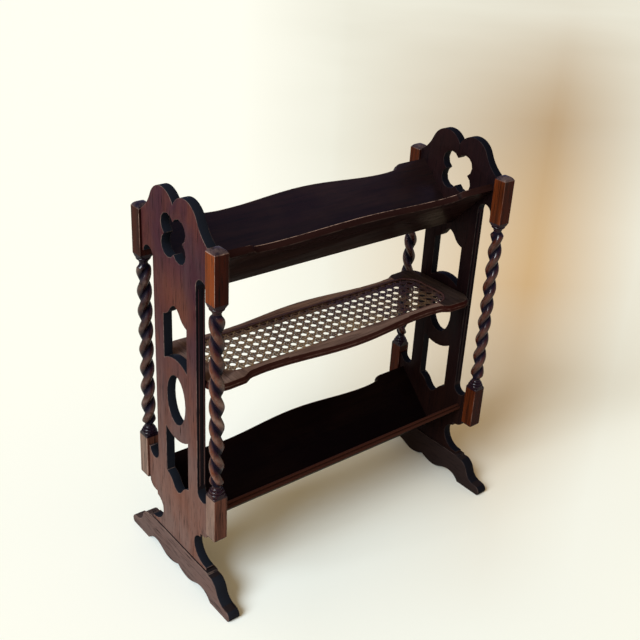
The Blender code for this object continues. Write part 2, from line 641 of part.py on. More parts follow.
def twist(start, end, rows, hand, start_angle):
    """Rings of the double twist between two necks. Each row turns by one point of the section."""
    rings = []
    for row in range(1, rows):
        height = start + (end - start) * row / rows
        grown = min(1.0, (height - start) / TWIST_RUN_IN, (end - height) / TWIST_RUN_IN)
        grown = grown * grown * (3 - 2 * grown)
        turned = start_angle + hand * row * STEP_ANGLE

        def reach(angle):
            bearing = angle - turned
            strand = (STRAND_OFFSET * abs(math.cos(bearing))
                      + math.sqrt(STRAND_RADIUS ** 2 - (STRAND_OFFSET * math.sin(bearing)) ** 2))
            return NECK_RADIUS + (strand - NECK_RADIUS) * grown
        rings.append(ring(reach, height, turned))
    return rings


# Where each twist starts, seen from above
TWIST_STARTS = {("front", "left"): math.radians(160), ("back", "left"): math.radians(135),
                ("front", "right"): math.radians(61), ("back", "right"): math.radians(119)}


def posts():
    for end, side in (("left", -1), ("right", 1)):
        for way, face in (("front", -1), ("back", 1)):
            hand = -side * face
            name = "post_%s_%s" % (way, end)
            place = (side * PANEL_PLACE, face * POST_OFFSET, 0)
            made = piece(name, loft(post_rings(hand, TWIST_STARTS[way, end]), hand), POST_WOOD, place)
            for label, height in (("upper", UPPER_DOWEL_HEIGHT), ("lower", LOWER_DOWEL_HEIGHT)):
                spot = (side * PANEL_PLACE, face * BLOCK_FACE, height)
                combine(made, cutter("%s_bore_%s" % (name, label), dowel_hole(face), spot), 'DIFFERENCE')
            tidy_shading(made, math.radians(40))


def wavy_top(dip):
    """Top edge of a serpentine board, right half, from the middle to the end of the board."""
    low_width = BOARD_END_WIDTH - dip
    middle = (0, BOARD_MID_WIDTH)
    end = SPAN / 2 + HOUSING_DEPTH - CLEAR
    points = [middle] + wave(middle, (DIP_PLACE, low_width), 8)
    step = (SHOULDER_INNER, low_width + (BOARD_END_WIDTH - low_width) / 4)
    rise, heading = bend(points[-1], RIGHT, step, 3)
    points += rise
    shoulder, _ = bend(step, UP * 0.72, (SHOULDER_OUTER, BOARD_END_WIDTH), 4)
    return points + shoulder + [(end, BOARD_END_WIDTH)]


def sloped(bm, bottom, face):
    """Lay a board drawn in (x, width) on its slope: face is -1 for the front arm, 1 for the back."""
    slope = math.sqrt(0.5)
    for corner in bm.verts:
        along, width, off = corner.co
        depth = off + BOARD_THICK / 2
        if width < BOARD_THICK:
            width = depth + CLEAR / 2
        corner.co = Vector((along, face * (width - depth) * slope, bottom + (width + depth) * slope))
    bmesh.ops.recalc_face_normals(bm, faces=bm.faces)
    return bm


def wavy_board(name, bottom, face, dip):
    half = wavy_top(dip)
    end = half[-1][0]
    outline = [(end, 0)] + half[::-1] + [(-u, v) for u, v in half[1:]] + [(-end, 0)]
    made = piece(name, sloped(plate([outline], BOARD_THICK), bottom, face), BOARD_WOOD)
    tidy_shading(made)


def lip_board(name, bottom):
    """Straight front board of the lower trough, its top edge worked into two reeds."""
    reed = BOARD_THICK / 4
    section = [(0, 0), (LIP_WIDTH - reed, 0)]
    for start in (0, 2 * reed):
        middle = (LIP_WIDTH - reed, start + reed)
        bead = arc(middle, reed, DOWN, UP, 6)
        section += bead[1:-1]
        if start == 0:
            section.append((LIP_WIDTH - reed - REED_GROOVE + CLEAR, 2 * reed))
    section += [(LIP_WIDTH - reed, BOARD_THICK), (0, BOARD_THICK)]
    length = SPAN + 2 * (HOUSING_DEPTH - CLEAR)
    bm = plate([section], length)
    for corner in bm.verts:
        width, depth, along = corner.co
        corner.co = Vector((along, width, depth - BOARD_THICK / 2))
    made = piece(name, sloped(bm, bottom, -1), BOARD_WOOD)
    tidy_shading(made)


def shelf_outline():
    """Outline of the whole shelf frame, anticlockwise, and its right back quarter first."""
    end = SPAN / 2 - CLEAR
    corner = (end - SHELF_CORNER, SHELF_END_HALF - SHELF_CORNER)
    quarter = arc(corner, SHELF_CORNER, RIGHT, UP, 6)
    quarter += wave((SHELF_STEP_OUTER, SHELF_END_HALF),
                    (SHELF_STEP_INNER, SHELF_END_HALF - SHELF_STEP_FALL), 4)
    quarter += wave(quarter[-1], (SHELF_DIP_PLACE, SHELF_DIP_HALF), 3)
    quarter += wave(quarter[-1], (0, SHELF_MID_HALF), 8)
    left = [(-u, v) for u, v in quarter[-2::-1]]
    back = quarter + left
    front = [(-u, -v) for u, v in back]
    return back + front


def inset(outline, amount):
    """Outline moved inwards by an amount, corner by corner."""
    count = len(outline)
    moved = []
    for i, (u, v) in enumerate(outline):
        before = outline[i - 1]
        after = outline[(i + 1) % count]
        along = Vector((after[0] - before[0], after[1] - before[1])).normalized()
        moved.append((u - along.y * amount, v + along.x * amount))
    return moved


def shelf_blank():
    """Whole shelf as one board with its moulded edge, before it is divided into rails."""
    outline = shelf_outline()
    layers = ((EDGE_UNDER, SHELF_BOTTOM), (0, SHELF_BOTTOM + EDGE_UNDER),
              (0, SHELF_TOP - EDGE_ROUND_HEIGHT), (EDGE_ROUND, SHELF_TOP))
    rings = []
    for back, height in layers:
        rings.append([Vector((u, v, height)) for u, v in inset(outline, back)])
    return loft(rings)


def rounded(half_length, half_width, radius, count=6):
    points = []
    for quarter in range(4):
        turn = quarter * UP
        side_u = 1 if quarter in (0, 3) else -1
        side_v = 1 if quarter in (0, 1) else -1
        centre = (side_u * (half_length - radius), side_v * (half_width - radius))
        points += arc(centre, radius, turn, turn + UP, count)
    return points


def slab(loops, low, high):
    bm = plate(loops, high - low)
    bmesh.ops.translate(bm, vec=(0, 0, (low + high) / 2), verts=bm.verts)
    return bm


def shelf_tenons(side_x, side_y, grow):
    """Tenon at the end of a long rail, in an end rail. grow is 0, or the clearance for its mortise."""
    xs = sorted((side_x * (RAIL_JOINT - OVERRUN), side_x * (RAIL_JOINT + RAIL_TENON_LENGTH + grow)))
    ys = sorted((side_y * (RAIL_TENON_INNER - grow), side_y * (RAIL_TENON_OUTER + grow)))
    low = SHELF_BOTTOM + RAIL_TENON_BOTTOM
    return box((xs[0], ys[0], low - grow), (xs[1], ys[1], low + RAIL_TENON_THICK + grow))


def shelf_rails():
    hole = rounded(CANE_HALF_LENGTH - REBATE_WIDTH, CANE_HALF_WIDTH - REBATE_WIDTH,
                   CANE_CORNER - REBATE_WIDTH)
    rebate = rounded(CANE_HALF_LENGTH, CANE_HALF_WIDTH, CANE_CORNER)
    opening = cutter("shelf_opening", slab([hole], SHELF_BOTTOM - OVERRUN, SHELF_TOP + OVERRUN))
    ledge = cutter("shelf_rebate", slab([rebate], SHELF_TOP - REBATE_DEPTH, SHELF_TOP + OVERRUN))
    low, high = SHELF_BOTTOM - OVERRUN, SHELF_TOP + OVERRUN
    far = SPAN / 2 + OVERRUN
    wide = SHELF_MID_HALF + OVERRUN

    for way, face in (("front", -1), ("back", 1)):
        name = "shelf_%s_rail" % way
        rail = piece(name, shelf_blank(), SHELF_WOOD)
        ys = sorted((0, face * wide))
        region = box((-RAIL_JOINT + CLEAR, ys[0], low), (RAIL_JOINT - CLEAR, ys[1], high))
        combine(rail, cutter(name + "_region", region), 'INTERSECT')
        combine(rail, opening, 'DIFFERENCE')
        combine(rail, ledge, 'DIFFERENCE')
        for side in (-1, 1):
            tenon = shelf_tenons(side, face, 0)
            combine(rail, cutter("%s_tenon_%d" % (name, side), tenon), 'UNION')
        tidy_shading(rail)

    for end, side in (("left", -1), ("right", 1)):
        name = "shelf_%s_end_rail" % end
        rail = piece(name, shelf_blank(), SHELF_WOOD)
        xs = sorted((side * RAIL_JOINT, side * far))
        region = box((xs[0], -wide, low), (xs[1], wide, high))
        combine(rail, cutter(name + "_region", region), 'INTERSECT')
        combine(rail, opening, 'DIFFERENCE')
        combine(rail, ledge, 'DIFFERENCE')
        for face in (-1, 1):
            mortise = shelf_tenons(side, face, CLEAR)
            combine(rail, cutter("%s_mortise_%d" % (name, face), mortise), 'DIFFERENCE')
            ends = sorted((face * SHELF_TENON_INNER, face * SHELF_TENON_OUTER))
            reach = sorted((side * (SPAN / 2 - OVERRUN), side * (SPAN / 2 + SHELF_TENON_DEPTH - CLEAR)))
            foot_of = SHELF_BOTTOM + SHELF_TENON_BOTTOM
            tenon = box((reach[0], ends[0], foot_of), (reach[1], ends[1], foot_of + SHELF_TENON_THICK))
            combine(rail, cutter("%s_stub_%d" % (name, face), tenon), 'UNION')
        tidy_shading(rail)


def clip(polygon, border):
    """Part of a polygon inside a convex border, both anticlockwise."""
    for a, b in zip(border, border[1:] + border[:1]):
        if math.hypot(b[0] - a[0], b[1] - a[1]) < CLEAR / 10:
            continue

        def inside(p):
            return (b[0] - a[0]) * (p[1] - a[1]) - (b[1] - a[1]) * (p[0] - a[0])
        kept = []
        for p, q in zip(polygon, polygon[1:] + polygon[:1]):
            here, there = inside(p), inside(q)
            if here > 0:
                kept.append(p)
            if here * there < 0:
                part = here / (here - there)
                kept.append((p[0] + (q[0] - p[0]) * part, p[1] + (q[1] - p[1]) * part))
        polygon = kept
        if not polygon:
            break
    return polygon


def area(polygon):
    return sum(p[0] * q[1] - q[0] * p[1] for p, q in zip(polygon, polygon[1:] + polygon[:1])) / 2


def cane_gaps():
    """Eight-sided gaps of the weave on a square grid, cut off where the plain border starts."""
    margin = SPLINE_WIDTH + CLEAR + CANE_BORDER
    border = rounded(CANE_HALF_LENGTH - margin, CANE_HALF_WIDTH - margin, CANE_CORNER - margin)
    reach = CANE_GAP / 2 / math.cos(math.pi / 8)
    whole = area([(reach * math.cos(i * math.pi / 4), reach * math.sin(i * math.pi / 4)) for i in range(8)])
    columns = math.ceil(CANE_HALF_LENGTH / CANE_SPACING)
    rows = math.ceil(CANE_HALF_WIDTH / CANE_SPACING)
    gaps = []
    for column in range(-columns, columns + 1):
        for row in range(-rows, rows + 1):
            u = CANE_COLUMN_SHIFT + column * CANE_SPACING
            v = CANE_ROW_SHIFT + row * CANE_SPACING
            gap = clip([(u + reach * math.cos(math.pi / 8 + i * math.pi / 4),
                         v + reach * math.sin(math.pi / 8 + i * math.pi / 4)) for i in range(8)], border)
            if gap and area(gap) > SMALLEST_GAP_SHARE * whole:
                gaps.append(gap)
    return gaps


def cane_panel():
    """Woven sheet as a flat net inside a plain border."""
    edge = rounded(CANE_HALF_LENGTH - CLEAR, CANE_HALF_WIDTH - CLEAR, CANE_CORNER - CLEAR)
    piece("cane_panel", slab([edge] + cane_gaps(), CANE_LOW, CANE_HIGH), CANE_FIBRE)


def cane_spline():
    """Strip that holds the edge of the cane down, in the rebate round the opening."""
    outer = rounded(CANE_HALF_LENGTH - CLEAR, CANE_HALF_WIDTH - CLEAR, CANE_CORNER - CLEAR)
    inner = rounded(CANE_HALF_LENGTH - CLEAR - SPLINE_WIDTH, CANE_HALF_WIDTH - CLEAR - SPLINE_WIDTH,
                    CANE_CORNER - CLEAR - SPLINE_WIDTH)
    piece("cane_spline", slab([outer, inner], CANE_HIGH + CLEAR, SHELF_TOP), CANE_FIBRE)


def main():
    clear_scene()
    for end, side in (("left", -1), ("right", 1)):
        end_panel(end + "_end_panel", side)
        foot(end + "_foot", side)
    posts()
    dowels()
    wavy_board("upper_trough_back_board", UPPER_TROUGH_BOTTOM, 1, BACK_DIP)
    wavy_board("upper_trough_front_board", UPPER_TROUGH_BOTTOM, -1, FRONT_DIP)
    wavy_board("lower_trough_back_board", LOWER_TROUGH_BOTTOM, 1, BACK_DIP)
    lip_board("lower_trough_front_board", LOWER_TROUGH_BOTTOM)
    shelf_rails()
    cane_panel()
    cane_spline()


main()
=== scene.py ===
"""Looks of the canterbury bookcase: polished old wood, barley-twist posts and a woven cane shelf.

Laid out as a Blender add-on and run as a script. Metres, +Z up, X along the troughs, -Y the front.
The sizes below repeat those of the CAD solids that the pieces stand for.
"""
import math
import random

import bmesh
import bpy
from bpy.props import FloatProperty, FloatVectorProperty, PointerProperty
from mathutils import Matrix, Vector


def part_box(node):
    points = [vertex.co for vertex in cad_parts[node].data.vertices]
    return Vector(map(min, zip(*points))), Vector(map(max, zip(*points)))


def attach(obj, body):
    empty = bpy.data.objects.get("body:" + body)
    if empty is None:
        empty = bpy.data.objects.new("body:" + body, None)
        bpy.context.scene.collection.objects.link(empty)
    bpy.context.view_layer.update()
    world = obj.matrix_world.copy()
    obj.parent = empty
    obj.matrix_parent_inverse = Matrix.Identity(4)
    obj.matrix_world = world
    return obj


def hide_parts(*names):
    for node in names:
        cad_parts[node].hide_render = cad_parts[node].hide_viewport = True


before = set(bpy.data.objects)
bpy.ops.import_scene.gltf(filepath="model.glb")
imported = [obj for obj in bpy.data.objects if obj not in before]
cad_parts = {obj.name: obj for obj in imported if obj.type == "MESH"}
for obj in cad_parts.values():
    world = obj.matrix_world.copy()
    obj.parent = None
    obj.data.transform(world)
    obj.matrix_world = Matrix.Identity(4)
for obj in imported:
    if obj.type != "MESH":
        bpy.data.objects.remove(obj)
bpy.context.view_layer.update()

bl_info = {
    "name": "Canterbury Bookcase",
    "version": (1, 0, 0),
    "blender": (4, 5, 0),
    "location": "View3D > Sidebar > Bookcase",
    "description": "Builds the visible pieces of a canterbury bookcase round its CAD frame",
    "category": "Object",
}

ENDS = (("left", -1), ("right", 1))
WAYS = (("front", -1), ("back", 1))

# Sizes that the CAD solids also have
PANEL_PLACE = 0.2994
PANEL_THICK = 0.0164
PANEL_JAMB = 0.050          # from the middle, between the inner and the outer edges of the stiles
PANEL_SEATED = 0.0175       # above an end panel's lowest point, what stands in the foot and stays sharp
FOOT_THICK = 0.022
POST_OFFSET = 0.1073
POST_HALF = 0.0125
POST_BOTTOM = 0.1375
LOWER_BLOCK_TOP = 0.2235
UPPER_BLOCK_BOTTOM = 0.5689
UPPER_BLOCK_TOP = 0.6485
CAP_RISE = 0.0072
HEEL_RISE = 0.0062
LOWER_TURNING = 0.0208
UPPER_TURNING = 0.0170
TWIST_STARTS = {("front", "left"): 160, ("back", "left"): 135,      # degrees
                ("front", "right"): 61, ("back", "right"): 119}
TURNS_PER_CIRCLE = 12       # the twist ends on a whole twelfth of a turn
TROUGH_SEAM = 0.03          # half the width of the strip about the seam, where edges stay sharp
TROUGH_SHOWN = 0.2947       # half the length of a board between its housings
LIP_DEPTH = 0.012           # of the reeded top of the straight board
LIP_FACE = 0.002            # every face of the reeds is smaller, in square metres
SHELF_OUTER_X = 0.2607      # beyond either of these two lies the moulded edge
SHELF_OUTER_Y = 0.0716
LONG_RAIL_SHOWN = 0.2185    # half the length of a long rail between its tenons
END_RAIL_START = 0.2195
SHELF_TENON_X = 0.2897      # the tenon at each end of the shelf starts here
SHELF_TENON_HALF = 0.056
CANE_COLUMN_SHIFT = 0.0073
CANE_ROW_SHIFT = 0.0003
CANE_CORNER = 0.034
CANE_TUCKED = 0.0016        # how far short of the sheet's edge the strands end, under the spline

# The weave
CANE_PAIR = 0.00212         # from the middle of a pair to each of its strands
CANE_STEP = 0.0018          # length of a face along a strand
CANE_CROWN = 0.0001         # how much higher a strand's middle lies than its edges
CANE_SUNK = 0.00005         # how much lower than centred the weave lies
WEAVE_LIFT = 0.00022        # how far the straight strands rise and fall in the weave
DIAGONAL_LIFT = 0.00046
CUT_STEPS = 2400            # places along a line where the outline of the sheet is looked for
LEAST_CUT = 12              # fewer of those places inside give no strand

# Turned profiles, from the block towards the twist: share of the height, radius as a share of the
# block's half side, and how far the stretch before it swells
LOWER_PROFILE = ((0.00, 1.415, 0), (0.16, 1.28, 0.015), (0.20, 1.10, 0), (0.41, 1.06, 0.05),
                 (0.45, 0.90, 0), (0.64, 0.87, 0.06), (0.69, 0.70, 0), (0.84, 0.67, 0.04),
                 (0.88, 0.585, 0), (1.0, 0.56, -0.01))
UPPER_PROFILE = ((0.00, 1.415, 0), (0.18, 1.22, 0.01), (0.34, 1.06, 0.02), (0.38, 0.90, 0),
                 (0.60, 0.90, 0.08), (0.66, 0.72, 0), (0.82, 0.66, -0.02), (1.0, 0.56, -0.02))
# Cushion on top and heel at the foot: share of the rise, share of the half side, squareness
CAP_PROFILE = ((0.20, 0.94, 14), (0.46, 0.86, 11), (0.68, 0.73, 8), (0.85, 0.56, 6), (0.96, 0.36, 4),
               (1.00, 0.16, 3))
HEEL_PROFILE = ((0.00, 0.46, 5), (0.14, 0.64, 6), (0.38, 0.81, 8), (0.60, 0.91, 11), (0.82, 0.972, 16))
SQUARENESS = 0.8            # how far the points of a square ring move towards its corners
POST_SEGMENTS = 48
TURNING_ROWS = 5            # for each stretch of a turned profile
TWIST_ROW = 0.00125         # height of a row of the twist
BLOCK_ROW = 0.0004          # height of the narrow rows at the ends of a block
MERGE_REACH = 0.000002
FLAT_ANGLE = 0.6            # degrees, below which faces are taken as one flat face
NEAR_FLOOR = 0.0005         # edges of the feet below this height stay sharp

# Looks that differ from piece to piece, many of them painted light and shade. The light comes from the
# left.
# Painted shade on the cut faces, darker at the right end, away from the light
CUT_FACE_SHADE = {"left": 1.0, "right": 0.4}
# Worn arrises of the panels and feet, more on the lit left end: wear and partly a painted highlight
EDGE_WEAR_AND_GLINT = {"left": 0.5, "right": 0.12}
# Painted pools of light on the outside of an end panel: Y, Z, reach, share of the light colour
PANEL_LIGHT_POOLS = ((0.010, 0.535, 0.075, 0.55), (-0.030, 0.515, 0.045, 0.45), (-0.010, 0.165, 0.080, 0.50))
PANEL_LOW_SPAN = (0.52, 0.16)       # heights between which a panel turns to its low colour
LOW_UNLIT = (0.50, 0.31, 0.28)      # of the low colour: a painted shade on faces that aren't marked lit
# Share of painted shade on a panel's straight outer edges
OUTER_EDGE_SHADE = 0.4
OUTER_EDGE_LIT = 0.3
# Share of painted shade on the cut faces at the back of a foot
FOOT_BEHIND_SHADE = 0.35
FOOT_TOP_LIT = 0.7
# Share of the light colour painted on the sides of each post that face the light: painted light
POST_LIT_SHARE = {("front", "left"): 0.75, ("back", "left"): 0.06,
               ("front", "right"): 0.30, ("back", "right"): 0.15}
# Pale crests of the twists: wear and partly a painted highlight, more on the lit left posts
TWIST_WEAR_AND_GLINT = {("front", "left"): 0.60, ("back", "left"): 0.45,
              ("front", "right"): 0.15, ("back", "right"): 0.15}
# Pale arrises and top rim of the blocks: wear and partly a painted highlight
BLOCK_WEAR_AND_GLINT = {"left": 2.0, "right": 0.8}
RING_WEAR = 0.6
LOWER_BLOCK_LIT = {"left": 1.0, "right": 0.8}
TWIST_LIT = 0.60
TWIST_LEAST_LIT = 0.35
# Share of the rise from valley to crest where the painted shade of the valleys ends and where it is full,
# and where the polish of the crests starts and where it is full
VALLEY_SHADE_SPAN = (0.82, 0.32)
CREST_SPAN = (0.30, 0.60)
CREST_POLISH = 0.9
# How much painted shade, polish and wear the rows of a post have, by their kind
POST_MARKS = {'cap': (0.9, 0.6, 0.5), 'block': (0.0, 0.0, 0.0), 'rim': (0.0, 0.0, 0.0),
              'turned': (0.75, 0.5, 0.0)}
TROUGH_SHINE = {("upper", "front"): 0.02, ("upper", "back"): 0.32,
                ("lower", "front"): 0.03, ("lower", "back"): 0.02}
# The lower trough is darker: painted shade under the upper one
TROUGH_SHADE_TONE = {"upper": 1.0, "lower": 0.4}
TROUGH_SHEEN = {"front": (1, 0.85, 0.75), "back": (1, 1, 1)}
LIP_WEAR = {"front": 2.0, "back": 0.6}
BOARD_WEAR = 0.15
# Share of the lip colour on the top edges: painted light from above
BOARD_TOP_LIT = 0.25
# Shelf rails: node, grain, shift of the grain, tone. The tone paints the light and shade that fall on each
# rail, darkest on the right end rail.
SHELF_RAILS = (("shelf_front_rail", 'X', 0.2, 1.75), ("shelf_back_rail", 'X', 3.2, 2.1),
               ("shelf_left_end_rail", 'Y', 1.2, 1.5), ("shelf_right_end_rail", 'Y', 4.1, 0.30))
CANE_SHADE_SPAN = {"length": (-0.05, 0.22), "width": (0.01, 0.05)}     # where the painted shade of the cane, towards the right and the back, starts and is full

# The stage
FLOOR_HALF = 15
FLOOR_DROP = 0.0002
FLOOR_TURN = 39.0           # degrees, for a Y that leads away from the viewer
TOWARDS_SUN = (-2.6, -0.45, 1.85)
SUN_STRENGTH = 4.0
SUN_SPREAD = 38             # degrees
SUN_COLOUR = (0.80, 0.94, 1.0)
WORLD_SEEN = (1.0, 1.0, 0.93, 1)
WORLD_FILL = (0.47, 0.36, 0.205, 1)
WORLD_MIRRORED = (0.13, 0.125, 0.24, 1)
LIGHT_MIRRORED = (0.50, 0.52, 0.60, 1)      # on the left, where the sun stands

# The camera: pixels for the picture, millimetres for the sensor, degrees for the angles
PHOTO_SIDE = 640
FOCAL_LENGTH = 966.99
CENTRE_X, CENTRE_Y = 305.03, 314.42
SENSOR = 36
AZIMUTH, ELEVATION, ROLL = -39.013, 27.051, 2.797
CAMERA_PLACE = (-0.98381, -1.15451, 1.19288)


def length(name, description, default, precision=4):
    return FloatProperty(name=name, description=description, default=default, unit='LENGTH',
                         precision=precision)


class BookcaseSizes(bpy.types.PropertyGroup):
    """Sizes of the visible detail."""
    arris: length("Arris", "Width of the worn edges of boards", 0.0007)
    moulding: length("Moulding", "Width of the rounded edges of the shelf and the spline", 0.0009)
    strand_radius: length("Strand radius", "Radius of a strand of the twist", 0.0077)
    strand_offset: length("Strand offset", "From the post's axis to the middle of a strand", 0.0047)
    turn_length: length("Turn length", "Height of one full turn of a strand", 0.0722)
    run_in: length("Run-in", "Height over which a strand grows out of the neck", 0.0090)
    neck_radius: length("Neck radius", "Radius of the neck at each end of the twist", 0.0070)
    cane_spacing: length("Cane spacing", "Between the gaps of the weave, both ways", 0.0176)
    cane_width: length("Cane width", "Width of one strand of cane", 0.0028)
    cane_thick: length("Cane thickness", "Thickness of one strand of cane", 0.00056, 5)


def colour(name, description, default):
    return FloatVectorProperty(name=name, description=description, default=default, subtype='COLOR',
                               size=3, min=0, max=1)


class BookcaseFinish(bpy.types.PropertyGroup):
    """Colours of the woods, the cane and the stage."""
    panel_body: colour("End panels, top", "Wood of the end panels near their tops", (0.046, 0.0145, 0.021))
    panel_low: colour("End panels, foot", "Wood of the panels near the feet", (0.135, 0.076, 0.064))
    foot_body: colour("Feet", "Main colour of the feet", (0.108, 0.064, 0.056))
    # Rubbed patches of the end panels, and the colour of their painted pools of light
    panel_rubbed_and_lit: colour("End panels, rubbed", "Rubbed patches of the end panels", (0.130, 0.036, 0.016))
    # Painted shade on the cut faces of the fretwork and the feet
    panel_cut_shade: colour("End panels, cut faces", "Dark faces inside the fretwork", (0.0085, 0.0115, 0.0175))
    post_body: colour("Posts", "Main colour of the posts", (0.025, 0.0036, 0.0026))
    post_low: colour("Posts, foot", "Wood of the lower blocks", (0.220, 0.135, 0.106))
    # Painted light on the sides of the posts that face the light
    post_light: colour("Posts, faded", "Sides of the posts that face the light", (0.235, 0.048, 0.008))
    # Painted shade in the hollows of the twist and the rings, and on the caps and heels
    post_hollow_shade: colour("Posts, hollows", "Hollows of the twist and the rings", (0.0040, 0.0038, 0.0095))
    board_body: colour("Troughs", "Main colour of the trough boards", (0.0115, 0.0045, 0.0050))
    board_light: colour("Troughs, rubbed", "Rubbed patches of the trough boards", (0.024, 0.010, 0.008))
    # Painted light on the top edges and the reeded lip of the boards
    board_lip_lit: colour("Troughs, lip", "Top edges of the trough boards", (0.044, 0.014, 0.009))
    shelf_body: colour("Shelf", "Main colour of the shelf rails", (0.105, 0.060, 0.050))
    shelf_light: colour("Shelf, rubbed", "Rubbed patches of the shelf rails", (0.160, 0.100, 0.082))
    # Painted shade on the moulded edge
    shelf_edge_shade: colour("Shelf, moulded edge", "Moulded edge of the shelf rails", (0.022, 0.0035, 0.0022))
    # Also the painted shade of faces turned from the light
    grain_and_shade: colour("Grain", "Dark lines and pores of the wood", (0.003, 0.0015, 0.0015))
    # Pale worn edges, on the posts and panels partly a painted highlight
    bare: colour("Worn edge", "Pale wood of worn edges", (0.310, 0.200, 0.165))
    cane: colour("Cane", "Main colour of the cane", (0.640, 0.410, 0.175))
    # Aged stretches of the cane, and its painted shade towards the right and the back
    cane_aged_and_shaded: colour("Cane, aged", "Aged stretches of the cane", (0.080, 0.026, 0.015))
    # Painted shade where strands pass under others
    cane_under_shade: colour("Cane, hollows", "Strands where they pass under others", (0.012, 0.007, 0.005))
    floor: colour("Floor", "Colour of the floor", (0.97, 0.97, 0.955))
    # Painted shade far behind
    floor_far_shade: colour("Floor, far", "Floor far behind", (0.80, 0.79, 0.75))
    # Painted tan shadow on the right
    floor_tan_shade: colour("Floor, right", "Floor in the warm light on the right", (0.64, 0.43, 0.24))
    floor_tan_shade_far: colour("Floor, far right", "Floor far off on the right", (0.48, 0.335, 0.21))
    dowel_body: colour("Dowels", "Main colour of the dowels", (0.42, 0.27, 0.15))
    dowel_light: colour("Dowels, light", "Light patches of the dowels", (0.55, 0.38, 0.22))


def sizes():
    return bpy.context.scene.bookcase_sizes


def finish():
    return bpy.context.scene.bookcase_finish


# Shader building

def add(tree, kind, values=None, **settings):
    """New node with its settings and, by input name or number, its values or the sockets that feed it."""
    made = tree.nodes.new(kind)
    for key, value in settings.items():
        setattr(made, key, value)
    for key, value in (values or {}).items():
        if isinstance(value, bpy.types.NodeSocket):
            tree.links.new(value, made.inputs[key])
        else:
            made.inputs[key].default_value = value
    return made


def mix(tree, share, first, second):
    """Colour between two others."""
    return add(tree, 'ShaderNodeMix', {0: share, 6: first, 7: second}, data_type='RGBA').outputs[2]


def maths(tree, operation, first, second, clamp=False):
    made = add(tree, 'ShaderNodeMath', {0: first, 1: second}, operation=operation, use_clamp=clamp)
    return made.outputs[0]


def times(tree, first, *others):
    for other in others:
        first = maths(tree, 'MULTIPLY', first, other)
    return first


def spread(tree, value, low, high, out_low=0.0, out_high=1.0):
    """Stretch a value from one range to another, clamped."""
    return add(tree, 'ShaderNodeMapRange', {0: value, 1: low, 2: high, 3: out_low, 4: out_high}).outputs[0]


def marked(tree, name, output='Fac'):
    """A mark that the mesh carries."""
    return add(tree, 'ShaderNodeAttribute', attribute_name=name).outputs[output]


def stretched(tree, vector, scale):
    return add(tree, 'ShaderNodeMapping', {'Vector': vector, 'Scale': scale}).outputs[0]


def noise(tree, vector, detail, roughness, scale=1.0, distortion=0.0):
    return add(tree, 'ShaderNodeTexNoise', {'Vector': vector, 'Scale': scale, 'Detail': detail,
                                            'Roughness': roughness, 'Distortion': distortion}).outputs[0]


def split(tree, vector):
    return add(tree, 'ShaderNodeSeparateXYZ', {0: vector}).outputs


def surface(tree, values):
    """Principled surface, led to the output."""
    shader = add(tree, 'ShaderNodeBsdfPrincipled', values)
    add(tree, 'ShaderNodeOutputMaterial', {'Surface': shader.outputs[0]})


def new_material(name):
    """Material without nodes, and its tree."""
    made = bpy.data.materials.new(name)
    made.use_nodes = True
    made.node_tree.nodes.clear()
    return made, made.node_tree


def new_group(name, inputs, outputs):
    """Empty shader group with its sockets: (group, input node, output node)."""
    tree = bpy.data.node_groups.new(name, 'ShaderNodeTree')
    kinds = {'colour': 'NodeSocketColor', 'number': 'NodeSocketFloat', 'vector': 'NodeSocketVector'}
    for label, kind, default in inputs:
        socket = tree.interface.new_socket(label, in_out='INPUT', socket_type=kinds[kind])
        if default is not None:
            socket.default_value = default
    for label, kind in outputs:
        tree.interface.new_socket(label, in_out='OUTPUT', socket_type=kinds[kind])
    return tree, tree.nodes.new('NodeGroupInput'), tree.nodes.new('NodeGroupOutput')


